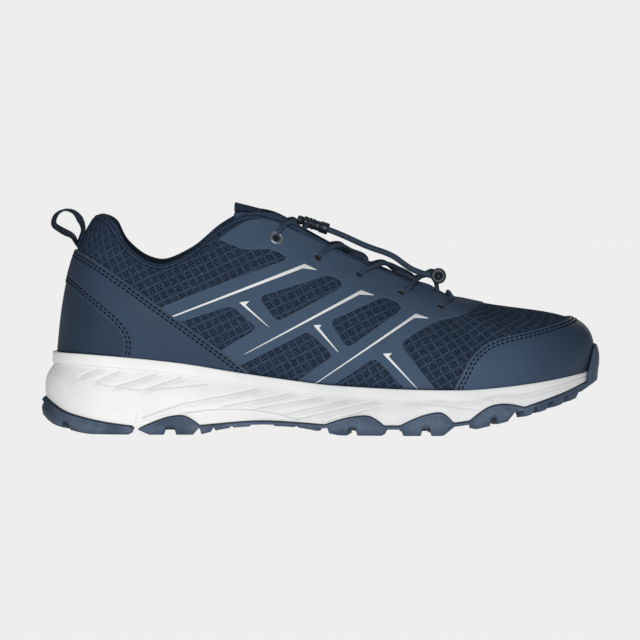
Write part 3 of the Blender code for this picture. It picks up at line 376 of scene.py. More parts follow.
# Outsole. Blue-grey rubber, moulded with its lugs in a heel part and a forefoot part, cemented under
# the foam. Its pods climb the foam's side, and the forefoot part turns up over the toe.
LENGTH = 297.0
BALL_WIDTH = 102.0
# station in per cent of the length, outer and inner half-breadth in per cent of the ball width
SOLE_OUTLINE = [
    (0.8, -1.0, -1.0),
    (3.5, -22.0, 20.0),
    (8.0, -33.5, 31.0),
    (14.5, -39.0, 37.0),
    (23.0, -40.5, 37.5),
    (33.0, -40.5, 35.0),
    (45.0, -43.0, 34.5),
    (57.0, -48.0, 40.0),
    (67.0, -51.0, 48.0),
    (75.0, -50.5, 50.7),
    (83.5, -45.0, 50.2),
    (90.5, -35.0, 44.0),
    (95.5, -21.0, 32.5),
    (98.5, 8.0, 8.0),
]
# station, then heights of the feather line, footbed, underside of the foam and ground side of the lugs
PROFILE_COLUMNS = ("feather", "footbed", "foam", "tread")
SOLE_PROFILE = [
    (0.0, 42.5, 31.0, 20.0, 9.5),
    (2.0, 42.3, 30.5, 16.0, 4.8),
    (4.0, 42.3, 30.0, 12.4, 3.0),
    (7.5, 42.2, 28.5, 9.2, 0.6),
    (9.0, 42.0, 28.0, 8.2, 0.0),
    (15.5, 40.7, 27.0, 5.2, 0.0),
    (28.5, 36.3, 25.5, 5.2, 0.0),
    (32.0, 34.5, 25.0, 6.2, 2.6),
    (40.0, 30.9, 23.5, 7.8, 4.6),
    (46.0, 28.5, 22.0, 7.0, 4.0),
    (51.0, 26.7, 20.5, 5.9, 1.4),
    (53.5, 26.2, 19.5, 5.6, 0.0),
    (62.0, 24.9, 17.0, 5.6, 0.0),
    (71.5, 24.2, 16.0, 6.4, 0.0),
    (76.0, 24.2, 16.2, 8.0, 2.4),
    (83.0, 25.6, 18.4, 12.2, 7.0),
    (89.0, 27.6, 21.6, 17.4, 11.8),
    (94.0, 29.8, 25.0, 22.4, 16.4),
    (97.0, 31.2, 28.4, 26.0, 19.6),
    (100.0, 32.2, 31.0, 29.5, 23.4),
]
# way round the last, then rise, swell, reach, drop and setback of its section
LAST_SECTIONS = [
    (0, 25, -2.0, 13.0, 20, 7.0),
    (12, 22, 2.0, 9.0, 20, 6.0),
    (25, 19, 5.0, 6.0, 17, 4.8),
    (38, 24, 5.0, 11.0, 16, 4.2),
    (50, 28, 4.5, 13.5, 16, 3.8),
    (64, 28, 6.0, 13.5, 13, 3.4),
    (76, 29, 7.5, 13.0, 12, 3.0),
    (88, 33, 10.0, 21.0, 12.5, 2.4),
    (100, 38, 12.0, 40.0, 11, 1.5),
]
# start, peak and end of each pod, and its height
SOLE_PODS = [
    (18.4, 25.0, 28.6, 6.0),
    (50.8, 58.0, 61.4, 5.4),
    (64.2, 71.0, 73.8, 6.4),
    (76.6, 81.0, 86.4, 5.6),
]
POD_FLAT = 11.6
POD_DEPTH = 15.0
SPINE_ENDS = (14.0, 84.0)
# start and end of each lug, whether blocks stand beside it in the middle of the sole, whether a web of
# rubber fills the space to the next one down to a shallow notch, and the run of its slopes at each end
LUGS = [
    (0.9, 4.2, False, True, 0, 0),
    (5.6, 15.9, True, False, 0, 0.7),
    (19.6, 22.2, True, True, 2.0, 0),
    (24.4, 27.4, True, False, 0, 1.0),
    (28.9, 30.6, False, False, 0.3, 0.4),
    (31.4, 33.8, False, False, 0.3, 0.4),
    (34.6, 37.4, False, False, 0.3, 0.4),
    (42.0, 45.4, False, False, 0.4, 0.3),
    (46.2, 49.6, False, False, 0.4, 0.3),
    (51.6, 54.8, True, True, 0.4, 0),
    (56.6, 61.0, True, False, 0, 0.8),
    (64.8, 67.9, True, True, 0.5, 0),
    (69.8, 72.0, True, False, 0, 2.0),
    (77.7, 80.2, True, True, 0.9, 0),
    (81.6, 83.4, True, False, 0, 1.8),
    (86.6, 87.7, False, False, 0.3, 0.7),
    (89.0, 90.3, False, False, 0.3, 0.7),
    (91.9, 93.2, False, False, 0.3, 0.7),
    (94.6, 95.8, False, False, 0.3, 0.7),
]
LUG_CELL = 1.0
LUG_DEPTH = 11.0
LUG_DRAFT = 0.5
LUG_BELLY = 0.15
LUG_BITE = 1.0
LUG_ROUND = 0.45
LUG_ROUND_FROM = 40
LUG_SHARP_FROM = math.radians(50)
WEB_NOTCH = 2.7
WEB_DRAFT = 0.25
SLOPE_LIFT = 30.0
# painted shade of a lug's section from its outer top round to its inner top, and of a notch and the middle
# blocks
LUG_PAINTED_SHADES = (0.1, 0.0, 0.5, 0.8, 0.8)
NOTCH_PAINTED_SHADE = 0.8
MIDDLE_PAINTED_SHADE = 0.7
MIDDLE_LUG_INSET = 18.0
MIDDLE_LUG_SHARE = 0.84
HEEL_SPLIT = (16.3, 18.3)
RUBBER = 2.0
RUBBER_OUT = 0.4
HEEL_RUBBER_OUT = 2.2
HEEL_REACH = 0.18
SOLE_COLUMNS = 560
GAP = 0.3
# rounded edge of the rubber: setback, depth below the foam's edge, and how dark its rim is, partly the
# moulded rim and partly painted shade of the gap under the foam's edge
SLAB_EDGE = [
    (2.0, 0.1, 1.0),
    (0.45, 0.1, 1.0),
    (0.12, 0.22, 1.0),
    (0.0, 0.5, 1.0),
    (0.0, 0.85, 0.7),
    (0.0, 1.1, 0.0),
    (0.0, 1.7, 0.0),
    (0.15, 2.05, 0.0),
    (0.6, 2.3, 0.0),
]
RUBBER_TONE = (79, 94, 114)
RUBBER_DARK = (60, 75, 95)
RUBBER_PAINTED_SHADE = (30, 41, 56)
RUBBER_SPECK = (120, 128, 138)
# where along the shoe, in metres, painted shade darkens the rubber to the back of the heel
RUBBER_PAINTED_HEEL_SHADE = (-0.126, -0.147)


def closed_curve(knots, values, at, period):
    """The same curve for a ring, whose table is wrapped past both of its ends."""
    wrap = 3
    knots, values = np.asarray(knots, float), np.asarray(values, float)
    knots = np.concatenate([knots[-wrap:] - period, knots, knots[:wrap] + period])
    values = np.vstack([values[-wrap:], values, values[:wrap]])
    return curve_through(knots, values, np.mod(at, period))


def both_sides(table):
    """Knots and rows of a heel-to-toe table, taken down the outer side and back up the inner."""
    rows = np.array(table, float)
    ways = np.concatenate([rows[:, 0], 200 - rows[-2:0:-1, 0]]) / 200
    return ways, np.vstack([rows[:, 1:], rows[-2:0:-1, 1:]])


def station_x(station):
    return (np.asarray(station, float) / 100 - 0.5) * LENGTH


def x_station(x):
    return (np.asarray(x, float) / LENGTH + 0.5) * 100


def profile(column, x):
    """A height of the sole's profile at these x."""
    rows = np.array(SOLE_PROFILE, float)
    where = np.clip(x_station(x), rows[0, 0], rows[-1, 0])
    heights = curve_through(rows[:, 0], rows[:, [1 + PROFILE_COLUMNS.index(column)]], where)[:, 0]
    return np.maximum(heights, 0.0)


def way_round(t):
    """Share of the way from heel to toe, the same on both sides."""
    return 1 - np.abs(1 - 2 * np.mod(t, 1.0))


def smooth(value, low, high):
    share = np.clip((value - low) / (high - low), 0, 1)
    return share * share * (3 - 2 * share)


def outline_samples(count=1600):
    """The sole's outline as a ring, from the heel down the outer side to the toe and back."""
    rows = np.array(SOLE_OUTLINE, float)
    x = station_x(rows[:, 0])
    outer = np.column_stack([x, rows[:, 1] * BALL_WIDTH / 100])
    inner = np.column_stack([x, rows[:, 2] * BALL_WIDTH / 100])
    corners = np.vstack([outer, inner[-2:0:-1]])
    chord = np.linalg.norm(np.roll(corners, -1, axis=0) - corners, axis=1)
    knots = np.concatenate([[0], np.cumsum(chord)])
    toe = knots[len(rows) - 1]
    period = knots[-1]
    at = np.concatenate([np.linspace(0, toe, count), np.linspace(toe, period, count)[1:]])
    points = closed_curve(knots[:-1], corners, at, period)
    run = run_along(points)
    half = run[count - 1]
    way = np.where(run <= half, run / half / 2, 0.5 + (run - half) / (run[-1] - half) / 2)
    return way, points


RING_WAY, RING_POINTS = outline_samples()


def sole_ring(t):
    """Points of the sole's outline at ring positions t, and the outward direction at each."""

    def at(where):
        where = np.mod(where, 1.0)
        return np.column_stack([np.interp(where, RING_WAY, RING_POINTS[:, i]) for i in (0, 1)])

    along = at(t + 0.002) - at(t - 0.002)
    along /= np.linalg.norm(along, axis=1)[:, None]
    return at(t), np.column_stack([along[:, 1], -along[:, 0]])


def inset_ring(t, inset):
    """The outline moved inwards, by one amount or one for each position."""
    points, out = sole_ring(t)
    return points - out * np.broadcast_to(np.asarray(inset, float), (len(points),))[:, None]


def last_sections(t):
    ways, rows = both_sides(LAST_SECTIONS)
    return closed_curve(ways, rows, t, 1.0).T


def spine(t):
    """Middle line of the sole, kept short of heel and toe, where opposite ring positions meet."""
    half = np.linspace(0, 0.5, 200)
    middle = (sole_ring(half)[0] + sole_ring(1 - half)[0]) / 2
    x = np.clip(np.interp(way_round(t) / 2, half, middle[:, 0]), *station_x(SPINE_ENDS))
    return np.column_stack([x, np.interp(x, middle[:, 0], middle[:, 1])])


def station_ways(stations):
    """Ring positions where the outer side of the outline passes these stations."""
    half = np.linspace(0.0, 0.5, 400)
    return np.interp(station_x(stations), sole_ring(half)[0][:, 0], half)


def pod_rise(t):
    """How far the rubber climbs the foam's edge, in round humps alike on both sides."""
    rise = np.zeros(len(t))
    for start, peak, end, height in SOLE_PODS:
        share = np.interp(way_round(t) / 2, station_ways([start, peak, end]), [0, 1, 0])
        rise += height * np.sin(share * math.pi / 2)
    return rise


def raised(flat, z):
    return np.column_stack([flat, np.broadcast_to(z, len(flat))])


def spine_ring(t, column, lift=0.0):
    """Ring folded onto the spine, where a surface that spans the sole closes."""
    flat = spine(t)
    return raised(flat, profile(column, flat[:, 0]) + lift)


def under_foam(t, lift=0.0):
    """Rings of the foam's underside from the spine to the inner edge of the pods, and over them."""
    inside, over = inset_ring(t, POD_DEPTH), inset_ring(t, POD_FLAT)
    return [
        spine_ring(t, "foam", lift),
        raised(inside, profile("foam", inside[:, 0]) + lift),
        raised(over, profile("foam", over[:, 0]) + pod_rise(t) + lift),
    ]


def foam_edge(t):
    """Height of the foam's lower edge, pods included."""
    return profile("foam", sole_ring(t)[0][:, 0]) + pod_rise(t)


def outward(piece, merge=False):
    """Turn a closed mesh's faces outwards, after merging its doubles where rings fold together."""
    bm = bmesh.new()
    bm.from_mesh(piece.data)
    if merge:
        bmesh.ops.remove_doubles(bm, verts=bm.verts, dist=1e-6)
    bmesh.ops.recalc_face_normals(bm, faces=bm.faces)
    bm.to_mesh(piece.data)
    bm.free()


def note_points(piece, name, values):
    """Keep a number for each point of a mesh, which its material reads."""
    attribute = piece.data.attributes.new(name, "FLOAT", "POINT")
    attribute.data.foreach_set("value", np.asarray(values, np.float32))


def noted(tree, name):
    return add_node(tree, "Attribute", attribute_name=name).outputs["Fac"]


def along_shoe(tree):
    """Place along the shoe in metres, from heel to toe."""
    return add_node(tree, "SeparateXYZ", {0: add_node(tree, "TexCoord").outputs["Object"]}).outputs[0]


def loft(name, rings, marks):
    """Skin over a stack of rings of equal count, whose two ends have folded flat onto the sole's spine.
    Marks paint shade on each ring or its points."""
    count = len(rings[0])
    i, j = np.meshgrid(np.arange(len(rings) - 1), np.arange(count), indexing="ij")
    on, up = (j + 1) % count, (i + 1) * count
    faces = np.stack([i * count + j, i * count + on, up + on, up + j], axis=-1)
    piece = build(name, np.vstack(rings), faces.reshape(-1, 4).tolist())
    note_points(piece, "mark", np.concatenate([np.broadcast_to(mark, count) for mark in marks]))
    outward(piece, merge=True)
    piece.data.shade_smooth()
    return piece


def on_side(t, side):
    """Ring positions of the outer side, or of the inner side across from them."""
    return t if side < 0 else 1 - t


def at_heel(t):
    """Share of a shape that grows towards the back of the heel."""
    return 1 - smooth(way_round(t), 0.0, HEEL_REACH)


def rubber_reach(t):
    """How far the rubber stands outside the outline below its top edge, most behind the heel."""
    return RUBBER_OUT + (HEEL_RUBBER_OUT - RUBBER_OUT) * at_heel(t)


def rubber_slab(name):
    """The rubber's skin under the foam, with a rounded edge that leans out at the heel."""
    t = np.arange(SOLE_COLUMNS) / SOLE_COLUMNS
    edge = foam_edge(t)
    rings = under_foam(t, -GAP)
    marks = [0, 0, 0]
    for back, drop, dark in SLAB_EDGE:
        reach = RUBBER_OUT + (rubber_reach(t) - RUBBER_OUT) * min(drop / (GAP + RUBBER), 1)
        rings.append(raised(inset_ring(t, back - reach), edge - drop))
        marks.append(dark)
    rings += under_foam(t, -GAP - RUBBER)[::-1]
    return loft(name, rings, marks + [0, 0, 0])


def cut_off(piece, x, keep_front):
    """Cut a piece across the shoe and close it there."""
    bpy.ops.object.select_all(action="DESELECT")
    piece.select_set(True)
    bpy.context.view_layer.objects.active = piece
    bpy.ops.object.mode_set(mode="EDIT")
    bpy.ops.mesh.select_all(action="SELECT")
    bpy.ops.mesh.bisect(
        plane_co=(x * MM, 0, 0),
        plane_no=(1, 0, 0),
        use_fill=True,
        clear_inner=keep_front,
        clear_outer=not keep_front,
    )
    bpy.ops.object.mode_set(mode="OBJECT")


def bevelled(piece, width, segments, angle):
    bpy.context.view_layer.objects.active = piece
    bevel = piece.modifiers.new("bevel", "BEVEL")
    bevel.width = width * MM
    bevel.segments = segments
    bevel.limit_method = "ANGLE"
    bevel.angle_limit = math.radians(angle)
    bpy.ops.object.modifier_apply(modifier=bevel.name)


def lug_block(bm, rows, shades):
    """A strip of cells round a closed section, given as rows of points along the strip and their painted
    shades.
    """
    mark = bm.verts.layers.float["mark"]
    loops = []
    for row, shade in zip(rows, shades):
        loops.append([bm.verts.new(Vector(p) * MM) for p in row])
        for vert, dark in zip(loops[-1], np.broadcast_to(shade, len(row))):
            vert[mark] = dark
    for near, far in zip(loops, loops[1:] + loops[:1]):
        for i in range(len(near) - 1):
            bm.faces.new((near[i], near[i + 1], far[i + 1], far[i]))
    for i in (0, -1):
        bm.faces.new([loop[i] for loop in loops])


def lug_strips(rows):
    """Stations along each strip of webbed lugs, with how far each stands off the ground."""
    strips = []
    joined = False
    for start, end, _, webbed, lead_in, lead_out in rows:
        own = np.linspace(start, end, math.ceil((end - start) / LUG_CELL) + 1)
        lifts = np.zeros(len(own))
        if lead_in:
            own = np.concatenate([[start - lead_in], own])
            lifts = np.concatenate([[SLOPE_LIFT], lifts])
        if lead_out:
            own = np.concatenate([own, [end + lead_out]])
            lifts = np.concatenate([lifts, [SLOPE_LIFT]])
        if joined:
            before, before_lifts = strips.pop()
            web = [before[-1] + WEB_DRAFT, start - WEB_DRAFT]
            own = np.concatenate([before, web, own])
            lifts = np.concatenate([before_lifts, [WEB_NOTCH, WEB_NOTCH], lifts])
        strips.append((own, lifts))
        joined = webbed
    return strips


def lug_rows(name, rows):
    """Lugs down both edges with rounded faces, and slanted blocks in the middle of the sole."""
    bm = bmesh.new()
    bm.verts.layers.float.new("mark")
    drop = GAP + RUBBER - LUG_BITE
    for side in (-1, 1):
        for stations, notch in lug_strips(rows):
            t = on_side(station_ways(stations), side)
            reach = rubber_reach(t)
            inner, low = inset_ring(t, LUG_DEPTH), inset_ring(t, LUG_DRAFT - reach)
            top = foam_edge(t) - drop
            inner_top = profile("foam", inner[:, 0]) + pod_rise(t) - drop
            shallow = LUG_BITE - LUG_BELLY
            ground = np.minimum(profile("tread", low[:, 0]) + notch, top - shallow)
            inner_ground = np.minimum(profile("tread", inner[:, 0]) + notch, inner_top - shallow)
            section = [
                raised(inset_ring(t, LUG_DRAFT - (RUBBER_OUT + reach) / 2), top),
                raised(inset_ring(t, -LUG_BELLY - reach), (top + ground) / 2),
                raised(low, ground),
                raised(inner, inner_ground),
                raised(inner, inner_top),
            ]
            shades = list(LUG_PAINTED_SHADES)
            shades[2] = LUG_PAINTED_SHADES[2] + NOTCH_PAINTED_SHADE * (notch == WEB_NOTCH)
            lug_block(bm, section, shades)
        for start, end, has_middle, *_ in rows:
            if has_middle:
                t = on_side(station_ways([start, end]), side)
                outer = inset_ring(t, MIDDLE_LUG_INSET)
                inner = outer + (spine(t) - outer) * MIDDLE_LUG_SHARE
                section = []
                for flat in (outer, inner):
                    section.append(raised(flat, profile("foam", flat[:, 0]) - drop))
                    section.append(raised(flat, profile("tread", flat[:, 0])))
                lug_block(bm, [section[i] for i in (0, 1, 3, 2)], [MIDDLE_PAINTED_SHADE] * 4)
    bmesh.ops.recalc_face_normals(bm, faces=bm.faces)
    mesh = bpy.data.meshes.new(name)
    bm.to_mesh(mesh)
    bm.free()
    piece = bpy.data.objects.new(name, mesh)
    bpy.context.scene.collection.objects.link(piece)
    bevelled(piece, LUG_ROUND, 2, LUG_ROUND_FROM)
    mesh.shade_smooth()
    mesh.set_sharp_from_angle(angle=LUG_SHARP_FROM)
    return piece


def join(pieces, name):
    bpy.ops.object.select_all(action="DESELECT")
    for piece in pieces:
        piece.select_set(True)
    bpy.context.view_layer.objects.active = pieces[0]
    bpy.ops.object.join()
    pieces[0].name = name
    return pieces[0]


rubber, rubber_tree, rubber_shader = finish("outsole_rubber", RUBBER_TONE, 0.62, Specular_IOR_Level=0.2)
rubber_grain = place_noise(rubber_tree, 0.8, 4)
rubber_patches = limits(rubber_tree, place_noise(rubber_tree, 16), 0.36, 0.64)
rubber_face = blend(rubber_tree, rubber_patches, RUBBER_DARK, RUBBER_TONE)
rubber_specks = limits(rubber_tree, place_noise(rubber_tree, 0.9, 2), 0.56, 0.72)
rubber_dust = calc(rubber_tree, "MULTIPLY", rubber_patches, 0.6)
rubber_specks = calc(rubber_tree, "MULTIPLY", rubber_specks, rubber_dust)
rubber_face = blend(rubber_tree, rubber_specks, rubber_face, RUBBER_SPECK)
# the mark attribute paints shade on the rubber: along its rim under the foam's edge, under the lugs, in the
# notches and on the middle blocks; it also darkens the toe bumper
rubber_painted_marks = noted(rubber_tree, "mark")
rubber_painted_back = limits(rubber_tree, along_shoe(rubber_tree), *RUBBER_PAINTED_HEEL_SHADE)
rubber_painted_back = calc(rubber_tree, "MULTIPLY", rubber_painted_back, 0.6)
rubber_painted_shade = calc(rubber_tree, "MAXIMUM", rubber_painted_marks, rubber_painted_back)
colour_by(rubber_tree, rubber_shader, blend(rubber_tree, rubber_painted_shade, rubber_face, RUBBER_PAINTED_SHADE))
relief(rubber_tree, rubber_shader, rubber_grain, 0.1)

heel_end, front_end = station_x(HEEL_SPLIT)
heel_slab = rubber_slab("heel_slab")
cut_off(heel_slab, heel_end, keep_front=False)
heel_rubber = join([heel_slab, lug_rows("heel_lugs", LUGS[:2])], "heel_rubber")
front_slab = rubber_slab("front_slab")
cut_off(front_slab, front_end, keep_front=True)
front_rubber = join([front_slab, lug_rows("front_lugs", LUGS[2:])], "forefoot_rubber")


# Midsole. White foam, moulded in one piece with a plain band at the top, a step under it, slanting
# grooves and facets down its side; the upper is cemented inside its edge.
FOAM_COLUMNS = 1000
FOAM_ROWS = 56
# share of the height below the band, and setback there as a multiple of the band's own
FOAM_SIDE = [(0.0, 0.12), (0.28, 0.0), (0.66, 0.30), (1.0, 1.25)]
BAND_HEIGHT = 6.0
BAND_SHARE = 0.45
# setback, rise and painted shade of the step under the band, then setback, depth and painted shade of its
# rounded rim
BAND_STEP_ROWS = [(0.5, 0.15, 0.5), (0.12, 0.4, 0.2), (0.0, 0.7, 0.0)]
BAND_TOP_ROWS = [(0.0, 0.6, 0.1), (0.1, 0.1, 0.2), (0.35, -0.25, 0.3), (0.62, -0.2, 0.3)]
LEDGE_OUT = 2.0
HEEL_LEDGE = 1.1
LEDGE_IN = 3.4
PIXEL = 0.53
# middle column and ground row of the photo, to which its readings are tied
PHOTO_MIDDLE = 320
PHOTO_GROUND = 433.0
# moulded lines as seen from the side, in photo pixels, with depth and reach below it in millimetres
FOAM_GROOVES = [
    (((81, 375.5), (101, 368)), 0.9, 2.4),
    (((95, 381.5), (121, 370)), 0.9, 2.4),
    (((113.5, 387), (157, 374)), 1.0, 2.6),
    (((145, 389.6), (182, 377)), 1.0, 2.6),
    (((92, 381), (113, 387), (145, 390), (160, 388.5), (208, 384)), 0.5, 0.7),
    (((142, 418.5), (183, 404), (230, 395), (257, 389)), 1.1, 2.6),
    (((223, 407), (293, 393)), 1.0, 2.6),
    (((257, 409), (323, 397)), 1.0, 2.6),
    (((285, 415), (345, 400)), 1.0, 2.6),
    (((297, 420), (378, 401)), 1.0, 2.6),
    (((323, 424), (380, 407)), 1.0, 2.6),
    (((182, 414), (207, 410.6), (228, 409.6), (256, 410.6), (279, 414.7), (298, 420.3)), 1.3, 5.0),
    (((410, 402), (480, 410)), 0.3, 0.9),
    (((488, 399), (525, 405.7)), 0.3, 0.8),
    (((506, 392), (580, 377)), 0.35, 0.8),
    (((530, 396.5), (572, 385)), 0.3, 0.8),
    (((137, 414), (133.5, 430)), 0.5, 1.2),
]
GROOVE_ABOVE = 0.5
GROOVE_LINE = 0.34
# shares of the side where the lines fade in at the rubber, and partly out at the band
FADE_IN = (0.0, 0.06)
FADE_OUT = (0.94, 1.0)
FADE_LOSS = 0.6
FOAM_WHITE = (234, 234, 233)
# grey of the foam's random clouds and of its painted shade at the toe and the back of the heel
FOAM_GREY_AND_SHADE = (213, 214, 215)
FOAM_PAINTED_LINE = (190, 192, 195)
# where along the shoe, in metres, painted shade turns the foam greyer to the toe, and to the back of the
# heel
FOAM_PAINTED_TOE_SHADE = (-0.1, 0.03)
FOAM_PAINTED_HEEL_SHADE = (-0.118, -0.142)


def seen(pixels):
    """Places on the side of the shoe, in millimetres, of points read in the photo."""
    return [((x - PHOTO_MIDDLE) * PIXEL, (PHOTO_GROUND - y) * PIXEL) for x, y in pixels]


def side_view(points):
    """Where points of either side show when the shoe is seen from that side, in millimetres."""
    depth = -VIEW_CENTRE.y / MM - np.abs(points[:, 1])
    scale = view_reach / (view_reach + depth * MM)
    middle = VIEW_CENTRE.z / MM
    height = (points[:, 2] - middle) * math.cos(VIEW_RISE) + depth * math.sin(VIEW_RISE)
    return np.column_stack([points[:, 0] * scale, middle + height * scale])


def grooves(points):
    """Depth of the moulded lines, steep above each line with a facet below it, and the painted shade along
    the line.
    """
    spots = side_view(points)
    depth, shade = np.zeros(len(points)), np.zeros(len(points))
    for pixels, deep, run_out in FOAM_GROOVES:
        line = np.array(seen(pixels))
        for start, end in zip(line, line[1:]):
            way = end - start
            share = (spots - start) @ way / (way @ way)
            gap = spots - start - np.clip(share, 0, 1)[:, None] * way
            below = (gap[:, 0] * way[1] - gap[:, 1] * way[0]) / np.linalg.norm(way) > 0
            away = np.linalg.norm(gap, axis=1)
            facet = np.where(below, np.maximum(1 - away / run_out, 0), np.exp(-((away / GROOVE_ABOVE) ** 2)))
            depth = np.maximum(depth, deep * facet)
            shade = np.maximum(shade, np.exp(-((away / GROOVE_LINE) ** 2)) * min(deep, 1.0))
    return depth, shade


t = np.arange(FOAM_COLUMNS) / FOAM_COLUMNS
setback = last_sections(t)[4]
band_inset = setback - LEDGE_OUT - HEEL_LEDGE * at_heel(t)
low_edge = foam_edge(t)
band_flat = inset_ring(t, band_inset)
band_top = profile("feather", band_flat[:, 0]) - GAP
band_low = band_top - np.minimum(BAND_HEIGHT, BAND_SHARE * (band_top - low_edge))
foam_rings = under_foam(t)
foam_painted_marks = [0, 0, 0]
foam_shares = np.linspace(0, 1, FOAM_ROWS)
side_shares, side_setbacks = np.array(FOAM_SIDE).T
foam_setbacks = curve_through(side_shares, side_setbacks[:, None], foam_shares)[:, 0]
for share, multiple in zip(foam_shares, foam_setbacks):
    z = low_edge + (band_low - low_edge) * share
    depth, shade = grooves(raised(inset_ring(t, band_inset * multiple), z))
    fade = smooth(share, *FADE_IN) * (1 - FADE_LOSS * smooth(share, *FADE_OUT))
    foam_rings.append(raised(inset_ring(t, band_inset * multiple + depth * fade), z))
    foam_painted_marks.append(shade * fade)
for back, rise, dark in BAND_STEP_ROWS:
    foam_rings.append(raised(inset_ring(t, band_inset + back), band_low + rise))
    foam_painted_marks.append(dark)
for back, drop, dark in BAND_TOP_ROWS:
    foam_rings.append(raised(inset_ring(t, band_inset + back), band_top - drop))
    foam_painted_marks.append(dark)
ledge = inset_ring(t, setback + LEDGE_IN)
foam_rings.append(raised(ledge, profile("feather", ledge[:, 0]) - GAP))
foam_rings.append(raised(ledge, profile("footbed", ledge[:, 0])))
foam_rings.append(spine_ring(t, "footbed"))
foam = loft("foam_midsole", foam_rings, foam_painted_marks + [0, 0, 0])

foam_finish, foam_tree, foam_shader = finish("moulded_foam", FOAM_WHITE, 0.6, Specular_IOR_Level=0.2)
foam_skin = place_noise(foam_tree, 0.9, 4)
foam_along = along_shoe(foam_tree)
# painted shade greys the foam towards the toe and the back of the heel; random grey clouds are added on top
foam_cloud_and_shade = calc(foam_tree, "MULTIPLY", limits(foam_tree, foam_along, *FOAM_PAINTED_TOE_SHADE), 0.75)
foam_cloud_and_shade = calc(foam_tree, "MULTIPLY_ADD", limits(foam_tree, foam_along, *FOAM_PAINTED_HEEL_SHADE), 0.2, foam_cloud_and_shade)
foam_cloud = limits(foam_tree, place_noise(foam_tree, 20, 4), 0.35, 0.7)
foam_cloud_and_shade = calc(foam_tree, "MULTIPLY_ADD", foam_cloud, 0.3, foam_cloud_and_shade)
foam_face = blend(foam_tree, foam_cloud_and_shade, FOAM_WHITE, FOAM_GREY_AND_SHADE)
# painted shade along the grooves, under the band's step and over the band's rounded top
foam_painted_shading = noted(foam_tree, "mark")
colour_by(foam_tree, foam_shader, blend(foam_tree, foam_painted_shading, foam_face, FOAM_PAINTED_LINE))
relief(foam_tree, foam_shader, foam_skin, 0.06)
foam.data.materials.append(foam_finish)
fit(foam, "midsole_foam", "midsole")


# Upper. One wall of dark open mesh, backed and lined, padded round the collar, lasted over the insole
# board; a folded band is stitched along the collar and the throat.
INSTEP_HEIGHT = 116.0
HEEL_HEIGHT = 110.5
# way round one side, then station, half-width and height of the opening's edge
OPENING_RIM = [
    (0, 9.3, 0.0, 102.2),
    (5, 10.2, 13.0, 102.0),
    (10, 12.0, 22.5, 99.0),
    (16, 15.0, 29.5, 87.9),
    (22, 19.2, 33.0, 80.2),
    (27, 22.6, 33.5, 78.6),
    (33, 27.4, 31.2, 83.4),
    (40, 33.0, 26.6, 94.4),
    (45, 37.5, 23.0, 100.2),
    (50, 41.6, 20.0, 99.6),
    (56, 47.0, 17.8, 92.2),
    (64, 54.0, 15.8, 82.6),
    (75, 62.8, 13.8, 72.6),
    (86, 69.5, 11.5, 65.2),
    (94, 73.2, 7.5, 61.6),
    (100, 74.6, 0.0, 61.0),
]
ANKLE = (0.20, 0.45)
OPENING_CENTRE = [(0, -1.0), (30, -1.0), (55, 0.0), (75, 2.0), (100, 5.0)]
WALL = 2.0
COLLAR_PADDING = 6.5
PADDING_RISE = (0.45, 0.95)
PADDING_END = (0.36, 0.5)
UPPER_COLUMNS = 480
UPPER_LOW_ROWS = 44
# distances of the upper rows from the collar's edge, below which its rolled lip begins
COLLAR_ROWS = (9.0, 7.5, 6.4, 5.6, 5.0, 4.5, 4.0, 3.5, 3.0, 2.6, 2.2, 1.8, 1.4, 1.05, 0.7, 0.35, 0.0)
LIP_STEPS = 24
LINING_FROM = 0.56
LINING_ROWS = 22
# two sewn lines along the collar's band, as far from the top of the lip
BAND_LINES = (3.7, 6.1)
BAND_LINE_HALF = 0.4
BAND_LINE_DEPTH = 0.5
# soft creases seen from the side, in photo pixels: two ends, half-width and depth in millimetres
UPPER_CREASES = [
    ((118, 262), (150, 292), 5.0, 0.7),
    ((136, 258), (176, 276), 4.0, 0.5),
    ((196, 268), (168, 290), 4.5, -0.5),
    ((446, 312), (474, 346), 6.0, 0.8),
    ((468, 312), (494, 330), 5.0, -0.6),
    ((430, 330), (446, 372), 6.0, 0.6),
]
YARN = (48, 62, 81)
YARN_PALE = (80, 96, 117)
BAND_TONE = (58, 73, 93)
BAND_DARK = (34, 46, 62)
MESH_HOLE = (2, 4, 7)
LINING = (14, 20, 29)
KNIT_RIB = 0.9
# every fourth row of holes is nearly closed, so they stand three by three in slanting rows of groups
GROUP_PITCH = 4.6
GROUP_HOLES = 4
GROUP_SLANT = math.radians(32)


def centre_y(x):
    rows = np.array(OPENING_CENTRE, float)
    return curve_through(rows[:, 0], rows[:, 1:], np.clip(x_station(x), 0, 100))[:, 0]


def feather_ring(t):
    flat = inset_ring(t, last_sections(t)[4])
    return raised(flat, profile("feather", flat[:, 0]))


def opening_ring(t):
    ways, rows = both_sides(OPENING_RIM)
    rows[:, 1] *= np.where(np.arange(len(ways)) >= len(OPENING_RIM), 1, -1)
    station, half, height = closed_curve(ways, rows, t, 1.0).T
    x = station_x(station)
    y = centre_y(x) + half * BALL_WIDTH / 100
    top_line = HEEL_HEIGHT + (INSTEP_HEIGHT - HEEL_HEIGHT) * smooth(way_round(t), *ANKLE)
    return np.column_stack([x, y, height * top_line / 100])


def last_surface(t, v):
    """Outer face of the upper, each column one sweep from the feather line (0) to the opening (1)."""
    t, v = np.asarray(t, float), np.asarray(v, float)[:, None]
    rise, swell, reach, drop, _ = last_sections(t)
    out = raised(sole_ring(t)[1], 0.0)
    up = np.array([0.0, 0.0, 1.0])
    low, high = feather_ring(t), opening_ring(t)
    low_pull = low + out * swell[:, None] + up * rise[:, None]
    high_pull = high + out * reach[:, None] - up * drop[:, None]
    rest = 1 - v
    return rest**3 * low + 3 * rest**2 * v * low_pull + 3 * rest * v**2 * high_pull + v**3 * high


